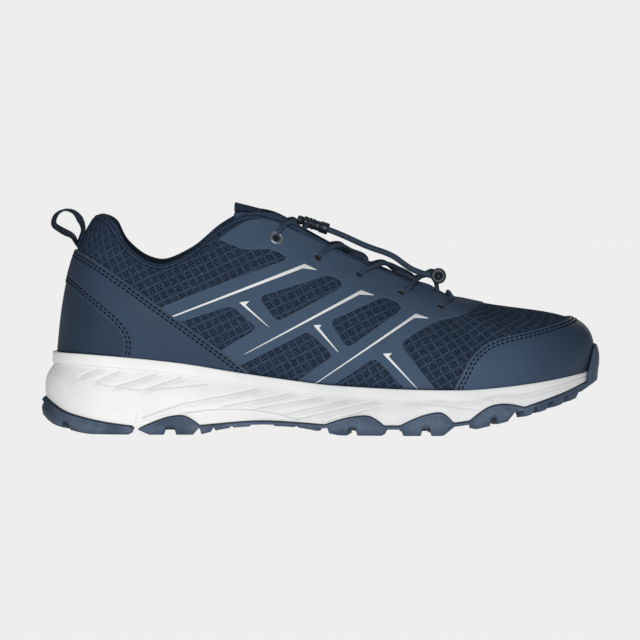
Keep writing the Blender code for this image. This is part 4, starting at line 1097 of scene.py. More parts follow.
def last_normal(t, v):
    step = 0.004
    t, v = np.asarray(t, float), np.asarray(v, float)
    round_it = last_surface(t + step, v) - last_surface(t - step, v)
    up_it = last_surface(t, np.minimum(v + step, 1)) - last_surface(t, np.maximum(v - step, 0))
    normal = np.cross(round_it, up_it)
    return normal / np.linalg.norm(normal, axis=1)[:, None]


def crease_depth(points):
    """Troughs and ridges that the mesh and the panels over it share."""
    spots = side_view(points)
    depth = np.zeros(len(points))
    for start, end, wide, deep in UPPER_CREASES:
        start, end = np.array(seen([start, end]))
        way = end - start
        share = np.clip((spots - start) @ way / (way @ way), 0, 1)
        gap = np.linalg.norm(spots - start - share[:, None] * way, axis=1)
        depth += deep * np.exp(-((gap / wide) ** 2))
    return depth


def on_last(t, v, lift):
    """The outer face with its creases, moved out along its normal."""
    t, v = np.broadcast_arrays(np.asarray(t, float), np.asarray(v, float))
    points = last_surface(t, v)
    lift = np.broadcast_to(np.asarray(lift, float), t.shape) - crease_depth(points)
    return points + last_normal(t, v) * lift[:, None]


def wall_at(t, v):
    """Thickness of the wall, padded towards the collar and thin along the throat."""
    padded = smooth(np.asarray(v), *PADDING_RISE) * (1 - smooth(way_round(t), *PADDING_END))
    return WALL + COLLAR_PADDING * padded


def column_tables(count=241, steps=81):
    """Lengths up the columns of the last, at even ring positions and height shares; how far each column
    drifts round the last on its way, how far it rises across that, and the run round its middle."""
    ways, shares = np.linspace(0, 1, count), np.linspace(0, 1, steps)
    grid = np.array([last_surface(ways, np.full(count, v)) for v in shares])
    step = np.diff(grid, axis=0)
    up = np.linalg.norm(step, axis=2)
    middle = grid[steps // 2]
    run = run_along(middle)
    round_it = np.column_stack([sole_ring(ways)[1][:, 1], -sole_ring(ways)[1][:, 0], np.zeros(count)])
    drift = -np.einsum("ijk,jk->ij", step, round_it)
    rise = np.sqrt(np.maximum(up**2 - drift**2, 0))
    tables = [np.vstack([np.zeros(count), np.cumsum(part, axis=0)]) for part in (up, drift, rise)]
    tables[1] -= tables[1][steps // 2]
    return ways, shares, run, *tables


COLUMN_WAYS, COLUMN_SHARES, COLUMN_RUN, COLUMN_LENGTHS, COLUMN_DRIFT, COLUMN_RISE = column_tables()


def from_columns(table, t, v):
    """Value of a table of the last's columns at ring positions and height shares."""
    place = np.mod(t, 1.0) * (len(COLUMN_WAYS) - 1)
    left = np.clip(place.astype(int), 0, len(COLUMN_WAYS) - 2)
    row = np.clip(v, 0, 1) * (len(COLUMN_SHARES) - 1)
    low = np.clip(row.astype(int), 0, len(COLUMN_SHARES) - 2)
    side, up = place - left, row - low
    near = table[low, left] * (1 - up) + table[low + 1, left] * up
    far = table[low, left + 1] * (1 - up) + table[low + 1, left + 1] * up
    return near * (1 - side) + far * side


def column_length(t, v):
    """Millimetres up its column from the feather line to a point of the last."""
    return from_columns(COLUMN_LENGTHS, t, v)


def cloth_uv(t, v):
    """Flat pattern of the last in millimetres: round it and up it, as a cloth lies on it."""
    t, v = np.asarray(t, float), np.asarray(v, float)
    turns = np.floor(t)
    run = np.interp(t - turns, COLUMN_WAYS, COLUMN_RUN) + turns * COLUMN_RUN[-1]
    return np.column_stack([run + from_columns(COLUMN_DRIFT, t, v), from_columns(COLUMN_RISE, t, v)])


def share_at(t, length):
    """Height share at which each column has come to this length."""
    fine = np.linspace(0, 1, 161)
    table = np.array([column_length(t, np.full(len(t), s)) for s in fine])
    return np.array([np.interp(length[k], table[:, k], fine) for k in range(len(t))])


t = np.arange(UPPER_COLUMNS + 1) / UPPER_COLUMNS
full_length = column_length(t, np.ones(len(t)))
row_lengths = [s * (full_length - COLLAR_ROWS[0]) for s in np.linspace(0, 1, UPPER_LOW_ROWS, endpoint=False)]
row_lengths += [full_length - gap for gap in COLLAR_ROWS]


def band_groove(from_top):
    """Depth of the collar's sewn lines at a distance from the top of its lip."""
    return sum(BAND_LINE_DEPTH * np.exp(-(((from_top - line) / BAND_LINE_HALF) ** 2)) for line in BAND_LINES)


lip_half = wall_at(t, np.ones(len(t))) / 2
outer_rows, outer_uv, rim_gap = [], [], []
for length in row_lengths:
    v = share_at(t, length)
    from_top = full_length - length + lip_half * math.pi / 2
    outer_rows.append(on_last(t, v, -band_groove(from_top)))
    outer_uv.append(cloth_uv(t, v))
    rim_gap.append(from_top)
lining_rows = []
for s in np.linspace(1, 0, LINING_ROWS):
    v = np.full(len(t), s)
    lining_rows.append(on_last(t, v, -wall_at(t, v)))
lining_rows[-1][:, 2] = outer_rows[0][:, 2]
rim_line = on_last(t, np.ones(len(t)), 0.0)
lip_middle = (rim_line + lining_rows[0]) / 2
lip_out = (rim_line - lining_rows[0]) / 2
lip_way = np.gradient(lip_middle, axis=0)
lip_way[0] = lip_way[-1] = lip_middle[1] - lip_middle[-2]
lip_up = np.cross(lip_out, lip_way)
lip_up *= (np.linalg.norm(lip_out, axis=1) / np.linalg.norm(lip_up, axis=1))[:, None]
lip_rows = []
for turn in np.linspace(0, math.pi, LIP_STEPS + 2)[1:-1]:
    from_top = lip_half * max(math.pi / 2 - turn, 0)
    size = (1 - band_groove(from_top) / lip_half)[:, None]
    lip_rows.append(lip_middle + (lip_out * math.cos(turn) + lip_up * math.sin(turn)) * size)
    rim_gap.append(from_top)
upper_rows = outer_rows + lip_rows + lining_rows
columns = UPPER_COLUMNS
faces, corner_uv = [], []
face_rows = len(outer_rows)
for i in range(len(upper_rows)):
    k = (i + 1) % len(upper_rows)
    for j in range(columns):
        on = (j + 1) % columns
        faces.append((i * columns + j, i * columns + on, k * columns + on, k * columns + j))
        if i < face_rows - 1:
            corner_uv += [outer_uv[i][j], outer_uv[i][j + 1], outer_uv[k][j + 1], outer_uv[k][j]]
        else:
            corner_uv += [(j, i), (j + 1, i), (j + 1, i + 1), (j, i + 1)]
upper = build("mesh_upper", np.vstack([row[:-1] for row in upper_rows]), faces, np.array(corner_uv))
rim_values = [row[:-1] for row in rim_gap] + [np.zeros(columns)] * LINING_ROWS
note_points(upper, "rim_gap", np.concatenate(rim_values))


def mesh_cloth(name):
    """Open mesh: small holes in slanting groups between raised yarns, and a plain band at the collar."""
    made, tree, shader = finish(name, YARN, 0.95, Specular_IOR_Level=0.02)
    along, up = own_uv(tree)
    cos, sin = math.cos(GROUP_SLANT), math.sin(GROUP_SLANT)
    row_way = calc(tree, "ADD", calc(tree, "MULTIPLY", along, cos), calc(tree, "MULTIPLY", up, sin))
    row_up = calc(tree, "SUBTRACT", calc(tree, "MULTIPLY", up, cos), calc(tree, "MULTIPLY", along, sin))
    waves, groups = [], []
    for way in (row_way, row_up):
        turn = calc(tree, "MULTIPLY", way, 2 * math.pi / GROUP_PITCH)
        waves.append(calc(tree, "COSINE", calc(tree, "MULTIPLY", turn, GROUP_HOLES)))
        groups.append(limits(tree, calc(tree, "COSINE", turn), -0.95, -0.5))
    lattice = calc(tree, "MULTIPLY", calc(tree, "ADD", *waves), 0.5)
    in_group = calc(tree, "MULTIPLY_ADD", calc(tree, "MULTIPLY", *groups), 0.75, 0.25)
    uneven = calc(tree, "MULTIPLY_ADD", place_noise(tree, 1.6, 2), 0.8, -0.4)
    hole = limits(tree, calc(tree, "ADD", lattice, uneven), 0.02, 0.22)
    hole = calc(tree, "MULTIPLY", hole, in_group)
    gap = noted(tree, "rim_gap")
    open_part = limits(tree, gap, BAND_LINES[1] + 0.2, BAND_LINES[1] + 0.9)
    hole = calc(tree, "MULTIPLY", hole, open_part)
    sewn_line = 0.0
    for line in BAND_LINES:
        away = calc(tree, "ABSOLUTE", calc(tree, "SUBTRACT", gap, line))
        sewn_line = calc(tree, "MAXIMUM", sewn_line, limits(tree, away, BAND_LINE_HALF, 0.12))
    specks = calc(tree, "MULTIPLY", limits(tree, place_noise(tree, 0.8, 2), 0.5, 0.68), 0.55)
    yarn = blend(tree, specks, YARN, YARN_PALE)
    knit = blend(tree, limits(tree, place_noise(tree, 0.7, 3), 0.35, 0.65), BAND_DARK, BAND_TONE)
    cloth = blend(tree, open_part, knit, yarn)
    cloth = blend(tree, calc(tree, "MULTIPLY", sewn_line, 0.8), cloth, MESH_HOLE)
    colour_by(tree, shader, blend(tree, hole, cloth, MESH_HOLE))
    relief(tree, shader, calc(tree, "SUBTRACT", 1.0, hole), 0.5)
    return made


def lining_cloth(name, colour):
    """Close knit: small crossed ribs on Object coordinates."""
    made, tree, shader = finish(name, colour, 0.9, Specular_IOR_Level=0.1)
    where = add_node(tree, "SeparateXYZ", {0: add_node(tree, "TexCoord").outputs["Object"]})
    turns = [calc(tree, "MULTIPLY", where.outputs[i], 2 * math.pi / (KNIT_RIB * MM)) for i in (0, 2)]
    ribs = [calc(tree, "SINE", turn) for turn in turns]
    knit = calc(tree, "MULTIPLY_ADD", calc(tree, "MULTIPLY", *ribs), 0.5, 0.5)
    pale = tuple(min(255, int(c * 1.5) + 6) for c in colour)
    colour_by(tree, shader, blend(tree, knit, colour, pale))
    relief(tree, shader, knit, 0.15)
    return made


upper.data.materials.append(mesh_cloth("open_mesh"))
collar_lining = lining_cloth("collar_lining", LINING)
upper.data.materials.append(collar_lining)
zone = np.zeros(len(upper.data.polygons), np.int32)
zone[(face_rows + int(LIP_STEPS * LINING_FROM)) * columns :] = 1
upper.data.polygons.foreach_set("material_index", zone)
fit(upper, "upper_mesh", "upper")


# Heel counter, quarter panel and toe cap. Fine-grained synthetic leather with a bare cut edge, bonded
# over the mesh and sewn twice along that edge; the quarter panel overlaps the counter.
# outlines as seen from the side, in photo pixels; they run on below the foam's edge
COUNTER_OUTLINE = [
    (20, 262),
    (66, 276),
    (92, 299),
    (117, 321),
    (127, 331),
    (131, 341),
    (130, 352),
    (126, 400),
    (20, 400),
]
QUARTER_OUTLINE = [
    (20, 205),
    (76.8, 249.7),
    (90, 257.5),
    (107, 268.8),
    (129, 284.2),
    (151, 300.6),
    (172, 315.6),
    (200, 335.4),
    (221, 350.6),
    (239, 364),
    (251, 375),
    (262, 400),
    (116, 400),
    (120.4, 357.4),
    (123.7, 351.3),
    (124.3, 341.2),
    (120.4, 332.3),
    (111.4, 322.2),
    (86.9, 301),
    (67.3, 283),
    (20, 240),
]
CAP_OUTLINE = [
    (450, 400),
    (454.1, 389.2),
    (461.5, 375.7),
    (468, 362),
    (475, 352.4),
    (486.6, 342.8),
    (505, 337),
    (522.4, 333.4),
    (537.6, 330),
    (554, 325.2),
    (566, 321),
    (574, 316),
    (640, 296),
    (640, 400),
]
LEATHER_THICK = 1.3
COUNTER_THICK = 0.8
LEATHER_ROUND = 0.6
LEATHER_UNDER = -0.5
LEATHER_LOW = 0.003
LEATHER_CELL = 1.4
PEBBLE = 0.7
EDGE_STEPS = (0.06, 0.22, 0.5, 1.0)
SEAM_STEPS = (1.4, 0.7, 0.0, -0.7, -1.4)
SEAM_ROWS = (1.75, 3.5)
SEAM_DIP = 0.3
SEAM_HALF = 0.55
STITCH_PITCH = 2.85
STITCH_LENGTH = 1.95
STITCH_RADIUS = 0.36
STITCH_SIDES = 6
STITCH_LIFT = 0.12
# share of a stitch's length from its middle, then radius and height there as shares of its radius
STITCH_RINGS = [(-0.5, 0.4, -0.9), (-0.36, 0.9, -0.1), (0.0, 1.0, 0.15), (0.36, 0.9, -0.1), (0.5, 0.4, -0.9)]
QUARTER_TONE = (51, 67, 88)
QUARTER_DEEP = (42, 57, 76)
CAP_TONE = (63, 81, 105)
CAP_DEEP = (53, 70, 92)
# the counter is the same leather as the quarter; its darker tones are painted shade
COUNTER_SHADED_TONE = (45, 60, 79)
COUNTER_SHADED_DEEP = (35, 49, 67)
# where along the shoe, in metres, painted shade darkens the cap to the toe, and the counter to the back
CAP_PAINTED_SHADE = (0.085, 0.145)
COUNTER_PAINTED_SHADE = (-0.115, -0.14)
PANEL_PAINTED_SHADE = (33, 46, 62)
CUT_EDGE_AND_HIGHLIGHT = (112, 120, 131)
# near-black thread: its own dark tone, with painted shade of the needle pits
THREAD_AND_PIT_SHADE = (5, 9, 15)


def rounded(corners, radius, steps=4):
    """Closed outline whose corners are eased into arcs."""
    corners = np.array(corners, float)
    made = []
    for before, corner, after in zip(np.roll(corners, 1, 0), corners, np.roll(corners, -1, 0)):
        back, on = before - corner, after - corner
        start = corner + back * min(0.45, radius / np.linalg.norm(back))
        end = corner + on * min(0.45, radius / np.linalg.norm(on))
        for s in np.linspace(0, 1, steps + 1):
            made.append(start * (1 - s) ** 2 + 2 * corner * s * (1 - s) + end * s * s)
    return np.array(made)


def outline_gap(outline, spots):
    """Distance of spots from a closed outline, negative inside, and the way it grows."""
    best = np.full(len(spots), np.inf)
    away = np.zeros((len(spots), 2))
    inside = np.zeros(len(spots), bool)
    for start, end in zip(outline, np.roll(outline, -1, axis=0)):
        side = end - start
        from_start = spots - start
        share = np.clip(from_start @ side / max(side @ side, 1e-12), 0, 1)
        gap = from_start - share[:, None] * side
        distance = np.hypot(gap[:, 0], gap[:, 1])
        nearer = distance < best
        best[nearer] = distance[nearer]
        away[nearer] = gap[nearer]
        crosses = (start[1] > spots[:, 1]) != (end[1] > spots[:, 1])
        rise = side[1] if side[1] else 1e-12
        inside ^= crosses & (spots[:, 0] < start[0] + (spots[:, 1] - start[1]) * side[0] / rise)
    sign = np.where(inside, -1, 1)
    return best * sign, away * (sign / np.maximum(best, 1e-9))[:, None]


def cut_gap(outlines, t, v):
    """Millimetres over the last from its points to a panel's cut edge, negative inside the panel.
    The first outline is the panel's own and the others are windows in it."""
    normal = last_normal(t, v)
    spots = side_view(last_surface(t, v))
    gap, way = outline_gap(outlines[0], spots)
    for window in outlines[1:]:
        window_gap, window_way = outline_gap(window, spots)
        nearer = -window_gap > gap
        gap[nearer] = -window_gap[nearer]
        way[nearer] = -window_way[nearer]
    lean = way[:, 0] * normal[:, 0] + way[:, 1] * normal[:, 2]
    return gap / np.maximum(np.sqrt(np.maximum(1 - lean * lean, 0)), 0.35)


def cut_sheet(ways, shares, cell, gap_at, levels):
    """Flat pattern of a panel: a grid over the last, cut where its gap is 0 and scored at levels.
    Gives the ring positions, height shares and gaps of its points, and its faces."""
    columns = int((ways[1] - ways[0]) * COLUMN_RUN[-1] / cell)
    rows = int((shares[1] - shares[0]) * COLUMN_LENGTHS[-1].mean() / cell)
    t, v = (grid.ravel() for grid in np.meshgrid(np.linspace(*ways, columns), np.linspace(*shares, rows)))
    gap = gap_at(t, v)
    i, j = np.meshgrid(np.arange(rows - 1), np.arange(columns - 1), indexing="ij")
    corner = (i * columns + j).ravel()
    quads = np.column_stack([corner, corner + 1, corner + columns + 1, corner + columns])
    quads = quads[gap[quads].min(axis=1) < 0]
    used, where = np.unique(quads, return_inverse=True)
    pattern = np.column_stack([t * 100, v * 10, np.clip(gap, -20, 20)])[used]
    mesh = bpy.data.meshes.new("pattern")
    mesh.from_pydata(pattern.tolist(), [], where.reshape(-1, 4).tolist())
    bm = bmesh.new()
    bm.from_mesh(mesh)
    bpy.data.meshes.remove(mesh)
    for level in (0.0, *levels):
        bmesh.ops.bisect_plane(
            bm,
            geom=bm.verts[:] + bm.edges[:] + bm.faces[:],
            dist=1e-5,
            plane_co=(0, 0, level),
            plane_no=(0, 0, 1),
            clear_outer=level == 0.0,
        )
    bm.verts.index_update()
    made = np.array([vert.co for vert in bm.verts])
    faces = [[vert.index for vert in face.verts] for face in bm.faces]
    bm.free()
    return made[:, 0] / 100, made[:, 1] / 10, made[:, 2], faces


def panel_from(name, sheet, height, under, material):
    """Closed panel over a cut sheet: its face at a height over the last, its back under the mesh."""
    t, v, gap, faces = sheet
    count = len(t)
    points = np.vstack([on_last(t, v, height(gap)), on_last(t, v, under)])
    edges = {}
    for face in faces:
        for a, b in zip(face, face[1:] + face[:1]):
            edges[a, b] = True
    border = [(a, b) for a, b in edges if (b, a) not in edges]
    skin = list(faces)
    skin += [[k + count for k in reversed(face)] for face in faces]
    skin += [[b, a, a + count, b + count] for a, b in border]
    uv = cloth_uv(t, v)
    uv = np.vstack([uv, uv])
    piece = build(name, points, skin, uv[np.concatenate([np.array(face) for face in skin])])
    note_points(piece, "edge_gap", np.concatenate([gap, gap]))
    piece.data.materials.append(material)
    return piece


def eased(gap, thick, radius):
    """Height of a panel whose cut edge is rounded off."""
    share = np.clip(-gap / radius, 0, 1)
    return thick * np.sqrt(np.maximum(1 - (1 - share) ** 2, 0))


def level_runs(sheet, level):
    """Runs of points of a cut sheet that lie at one gap from its edge, as ring positions and shares."""
    t, v, gap, faces = sheet
    on_level = np.abs(gap - level) < 1e-3
    beside = {}
    for face in faces:
        for a, b in zip(face, face[1:] + face[:1]):
            if on_level[a] and on_level[b]:
                beside.setdefault(a, set()).add(b)
                beside.setdefault(b, set()).add(a)
    runs = []
    left = set(beside)
    for start in sorted(beside, key=lambda k: len(beside[k]) != 1):
        if start not in left:
            continue
        run = [start]
        left.discard(start)
        while True:
            ahead = [k for k in beside[run[-1]] if k in left]
            if not ahead:
                break
            run.append(min(ahead))
            left.discard(run[-1])
        if len(run) > 3:
            runs.append((t[run], v[run]))
    return runs


def sewn(name, runs, lift, material):
    """Stitches along runs on the last: short round threads that dip into the panel at both ends."""
    sides = STITCH_SIDES
    angles = np.arange(sides) * 2 * math.pi / sides
    points, faces = [], []
    for t, v in runs:
        line = on_last(t, v, lift)
        out = last_normal(t, v)
        run = run_along(line)
        for middle in (np.arange(int(run[-1] / STITCH_PITCH)) + 0.5) * STITCH_PITCH:
            ends = [middle - STITCH_LENGTH / 2, middle + STITCH_LENGTH / 2]
            start, end = np.column_stack([np.interp(ends, run, line[:, i]) for i in range(3)])
            up = np.array([np.interp(middle, run, out[:, i]) for i in range(3)])
            way = (end - start) / max(np.linalg.norm(end - start), 1e-9)
            side = np.cross(up, way)
            first = len(points)
            for along, wide, dip in STITCH_RINGS:
                centre = (start + end) / 2 + way * along * STITCH_LENGTH + up * dip * STITCH_RADIUS
                for a in angles:
                    points.append(centre + STITCH_RADIUS * wide * (side * math.cos(a) + up * math.sin(a)))
            for low in range(first, len(points) - sides, sides):
                for j in range(sides):
                    k = (j + 1) % sides
                    faces.append((low + k, low + j, low + sides + j, low + sides + k))
            faces.append(tuple(range(first, first + sides)))
            faces.append(tuple(range(len(points) - 1, len(points) - sides - 1, -1)))
    piece = build(name, np.array(points), faces)
    piece.data.materials.append(material)
    return piece


def leather_finish(name, pale, deep, painted_shade_span):
    """Fine pebbled grain with soft patches and painted shade towards one end of the shoe; paler at the cut
    edge, where its core shows and a highlight is painted on the rounded edge.
    """
    made, tree, shader = finish(name, pale, 0.55, Specular_IOR_Level=0.15)
    where = add_node(tree, "TexCoord").outputs["Object"]
    pebbles = {"Vector": where, "Scale": 1000 / PEBBLE}
    pebbles = add_node(tree, "TexVoronoi", pebbles, feature="SMOOTH_F1").outputs[0]
    fine = place_noise(tree, 0.35, 2)
    grain = calc(tree, "ADD", calc(tree, "MULTIPLY", pebbles, 0.6), calc(tree, "MULTIPLY", fine, 0.4))
    patches = place_noise(tree, 22)
    shade = calc(tree, "ADD", calc(tree, "MULTIPLY", patches, 0.7), calc(tree, "MULTIPLY", fine, 0.3))
    face = blend(tree, shade, deep, pale)
    # painted shade towards one end of the shoe, where the panel turns from the light
    dark = calc(tree, "MULTIPLY", limits(tree, along_shoe(tree), *painted_shade_span), 0.7)
    face = blend(tree, dark, face, PANEL_PAINTED_SHADE)
    # the cut edge is paler: its core, and a painted highlight on its rounded edge
    edge = {"Value": noted(tree, "edge_gap"), "From Min": -0.42, "From Max": -0.12}
    edge = add_node(tree, "MapRange", edge).outputs[0]
    colour_by(tree, shader, blend(tree, calc(tree, "MULTIPLY", edge, 0.75), face, CUT_EDGE_AND_HIGHLIGHT))
    relief(tree, shader, grain, 0.07)
    return made


def leather_height(gap):
    """Rounded cut edge, and a shallow channel under each row of stitches."""
    dip = sum(SEAM_DIP * np.exp(-(((gap + row) / SEAM_HALF) ** 2)) for row in SEAM_ROWS)
    return eased(gap, LEATHER_THICK, LEATHER_ROUND) - dip


def cut_panel(name, outline, ease, ends, top, levels, height, material):
    """Panel cut to an outline with eased corners between two ring positions, and its flat sheet."""
    edge = rounded(seen(outline), ease)
    sheet = cut_sheet(ends, (LEATHER_LOW, top), LEATHER_CELL, lambda t, v: cut_gap([edge], t, v), levels)
    piece = panel_from(name, sheet, height, LEATHER_UNDER, material)
    return piece, sheet


def counter_height(gap):
    return eased(gap, COUNTER_THICK, LEATHER_ROUND)


edge_levels = [-s * LEATHER_ROUND for s in EDGE_STEPS]
seam_levels = edge_levels + [-row + k * SEAM_HALF for row in SEAM_ROWS for k in SEAM_STEPS]
thread, thread_tree, thread_shader = finish("sewing_thread", THREAD_AND_PIT_SHADE, 0.9, Specular_IOR_Level=0.03)
relief(thread_tree, thread_shader, place_noise(thread_tree, 0.25, 2), 0.05)
quarter_leather = leather_finish("quarter_leather", QUARTER_TONE, QUARTER_DEEP, COUNTER_PAINTED_SHADE)
cap_leather = leather_finish("cap_leather", CAP_TONE, CAP_DEEP, CAP_PAINTED_SHADE)
counter_leather = leather_finish("counter_leather", COUNTER_SHADED_TONE, COUNTER_SHADED_DEEP, COUNTER_PAINTED_SHADE)

counter_way, quarter_way, cap_way = station_ways([20.0, 42.0, 71.0])
counter, _ = cut_panel(
    "counter_panel",
    COUNTER_OUTLINE,
    6.0,
    (-counter_way, counter_way),
    0.9,
    edge_levels,
    counter_height,
    counter_leather,
)
fit(counter, "synthetic_leather", "heel_counter")
quarter, quarter_sheet = cut_panel(
    "quarter_band",
    QUARTER_OUTLINE,
    3.0,
    (-quarter_way, quarter_way),
    0.98,
    seam_levels,
    leather_height,
    quarter_leather,
)
fit(quarter, "synthetic_leather", "quarter_panel")
cap, cap_sheet = cut_panel(
    "toe_cap_panel",
    CAP_OUTLINE,
    5.0,
    (cap_way, 1 - cap_way),
    0.9,
    seam_levels,
    leather_height,
    cap_leather,
)
fit(cap, "synthetic_leather", "toe_cap")

seam_lift = LEATHER_THICK - SEAM_DIP + STITCH_LIFT
for name, sheet in (("quarter_stitches", quarter_sheet), ("cap_stitches", cap_sheet)):
    runs = [run for row in SEAM_ROWS for run in level_runs(sheet, -row)]
    stitches = sewn(name, runs, seam_lift, thread)
    fit(stitches, "synthetic_leather")


# Eyestay and side lattice. One thin film with punched pin dots, cut with five windows on each side and
# heat-bonded to the mesh; the throat's edge is turned over, and the lower eyelets are plain holes.
FILM_OUTLINE = [
    (212, 180),
    (216, 238.5),
    (221.4, 240.8),
    (226.5, 242.8),
    (239.3, 247.9),
    (247, 249.8),
    (256, 249.1),
    (268.6, 248.9),
    (277.6, 251.7),
    (285.8, 256.1),
    (285.6, 260),
    (277.6, 262.5),
    (238, 276.6),
    (213.8, 286.1),
    (162, 306.4),
    (152, 316),
    (245, 400),
    (441, 400),
    (435.8, 389.4),
    (403.3, 348),
    (401.8, 345),
    (405.9, 339.7),
    (427.6, 325),
    (440.3, 319.3),
    (459.4, 315.5),
    (469.6, 312.9),
    (476, 307.8),
    (484, 303.5),
    (500, 180),
]
FILM_WINDOWS = [
    [(172, 324.5), (231.6, 305.9), (257.1, 328.2), (216, 353)],
    [(258.4, 297), (328.6, 274.9), (340, 279.1), (342.4, 285), (337.5, 289.3), (280.1, 320.2), (275.4, 319)],
    [(230, 371), (308.2, 331.2), (333.2, 355.6), (288, 387), (240, 396)],
    [
        (330.4, 321.2),
        (381.6, 297.6),
        (389.3, 298.2),
        (399.5, 304),
        (401.6, 309.3),
        (349.7, 346.4),
        (345, 345.4),
    ],
    [(322, 393), (372.7, 359.3), (377.8, 360.5), (412, 397)],
]
WINDOW_ROUND = 2.4
FILM_THICK = 0.5
FILM_ROUND = 0.35
FILM_UNDER = -0.4
FILM_CELL = 1.5
FILM_STEPS = (0.12, 0.45, 1.0)
FILM_EASE = 1.5
# station and height in per cent, from the top eyelet to the front one, then the station where the lace
# turns over the throat's edge and its rise there in millimetres
EYELETS = [
    (42.2, 89.2, 44.6, -0.4),
    (49.6, 80.1, 52.7, 0.3),
    (57.0, 72.3, 60.5, 1.5),
    (64.5, 64.1, 69.2, 8.4),
    (71.6, 58.2, 73.2, 1.4),
]
PUNCH_RADIUS = 1.9
FILM_TONE = (70, 87, 107)
FILM_DEEP = (63, 80, 101)
THROAT_BIND = (2.2, 3.9)
THROAT_BIND_END = (43.0, 49.0)
PIN_DOT = (44, 57, 74)
PIN_PITCH = 1.5
# where along the shoe, in metres, painted shade darkens the film to the vamp
FILM_PAINTED_SHADE = (0.06, 0.092)
# pale trim lines on the film, outer edge and inner edge of each in photo pixels
TRIM_LINES = [
    [(171.8, 316.0), (304.3, 264.2), (318.4, 270.8), (302.8, 268.6), (172.6, 317.2)],
    [(244.2, 353.8), (360.6, 290.6), (375.2, 296.0), (359.4, 294.9), (244.7, 354.4)],
    [(314.8, 383.4), (415.4, 314.2), (430.0, 318.7), (414.2, 318.4), (315.4, 384.0)],
    [(238.8, 302.2), (249.8, 301.0), (245.6, 304.9), (269.8, 327.4), (268.8, 327.4)],
    [(313.0, 325.0), (322.6, 324.8), (319.2, 327.8), (339.4, 352.6), (338.4, 352.6)],
    [(382.6, 353.6), (392.4, 353.0), (389.0, 356.5), (418.0, 388.6), (417.0, 388.6)],
]
TRIM_LIFT = 0.7
TRIM_EDGE = 0.1
TRIM_ROUND = 0.15
TRIM_UNDER = 0.3
TRIM_CELL = 0.45
TRIM_MARGIN = 2.5
TRIM_TONE = (216, 217, 218)
TRIM_DULL = (200, 202, 204)


def find_on_last(x, z):
    """Ring position and height share of the point of the outer side that shows at x, z from there."""
    t, v = (grid.ravel() for grid in np.meshgrid(np.linspace(0.02, 0.49, 95), np.linspace(0.05, 1.0, 60)))
    for spread in (0.01, 0.002, 0.0004, 0.0):
        points = last_surface(t, v)
        best = np.argmin((points[:, 0] - x) ** 2 + (points[:, 2] - z) ** 2)
        near_t, near_v = np.meshgrid(np.linspace(-1, 1, 21), np.linspace(-1, 1, 21))
        t = t[best] + near_t.ravel() * spread
        v = np.clip(v[best] + near_v.ravel() * spread * 2, 0, 1)
    return t[0], v[0]


EYELET_SPOTS = [find_on_last(station_x(s), h * INSTEP_HEIGHT / 100) for s, h, *_ in EYELETS]


def film_gap(t, v):
    """Gap to the film's edge, its windows and its punched eyelets, the same on both sides."""
    gap = cut_gap(film_cuts, t, v)
    points = last_surface(t, v)
    rim = column_length(t, np.ones(len(t))) - column_length(t, v)
    narrow, broad = THROAT_BIND
    bind = broad + (narrow - broad) * smooth(x_station(opening_ring(t)[:, 0]), *THROAT_BIND_END)
    gap = np.maximum(gap, bind - rim)
    for spot, share in EYELET_SPOTS:
        for way in (spot, 1 - spot):
            centre = last_surface(np.array([way]), np.array([share]))[0]
            gap = np.maximum(gap, PUNCH_RADIUS - np.linalg.norm(points - centre, axis=1))
    return gap


def film_finish(name):
    """Smooth film with rows of pin dots pressed into it, painted shade towards the vamp, and a paler
    heat-cut edge.
    """
    made, tree, shader = finish(name, FILM_TONE, 0.8, Specular_IOR_Level=0.04)
    along, up = own_uv(tree)
    turns = [calc(tree, "MULTIPLY", way, 2 * math.pi / PIN_PITCH) for way in (along, up)]
    rows = [calc(tree, "COSINE", turn) for turn in turns]
    dots = limits(tree, calc(tree, "MULTIPLY", *rows), 0.4, 0.8)
    cloudy = blend(tree, place_noise(tree, 12), FILM_DEEP, FILM_TONE)
    edge = {"Value": noted(tree, "edge_gap"), "From Min": -0.4, "From Max": -0.1}
    edge = add_node(tree, "MapRange", edge).outputs[0]
    pressed = blend(tree, calc(tree, "MULTIPLY", dots, 0.6), cloudy, PIN_DOT)
    dark = calc(tree, "MULTIPLY", limits(tree, along_shoe(tree), *FILM_PAINTED_SHADE), 0.7)
    pressed = blend(tree, dark, pressed, PANEL_PAINTED_SHADE)
    colour_by(tree, shader, blend(tree, calc(tree, "MULTIPLY", edge, 0.12), pressed, CUT_EDGE_AND_HIGHLIGHT))
    fine = calc(tree, "MULTIPLY", place_noise(tree, 0.4, 2), 0.35)
    relief(tree, shader, calc(tree, "SUBTRACT", fine, dots), 0.07)
    return made


def film_height(gap):
    return eased(gap, FILM_THICK, FILM_ROUND)


film_cuts = [rounded(seen(FILM_OUTLINE), FILM_EASE)]
film_cuts += [rounded(seen(window), WINDOW_ROUND) for window in FILM_WINDOWS]
film_way = station_ways([18.0])[0]
film_levels = [-s * FILM_ROUND for s in FILM_STEPS]
film_sheet = cut_sheet((film_way, 1 - film_way), (LEATHER_LOW, 1.0), FILM_CELL, film_gap, film_levels)
film = panel_from("lattice_film", film_sheet, film_height, FILM_UNDER, film_finish("bonded_film"))
fit(film, "eyestay_film", "eyestay")

trim, trim_tree, trim_shader = finish("pale_trim", TRIM_TONE, 0.45)
relief(trim_tree, trim_shader, place_noise(trim_tree, 0.4, 2), 0.02)
colour_by(trim_tree, trim_shader, blend(trim_tree, place_noise(trim_tree, 6), TRIM_TONE, TRIM_DULL))


def trim_height(gap):
    return TRIM_LIFT - TRIM_ROUND + np.clip(-gap, 0, TRIM_EDGE) * TRIM_ROUND / TRIM_EDGE


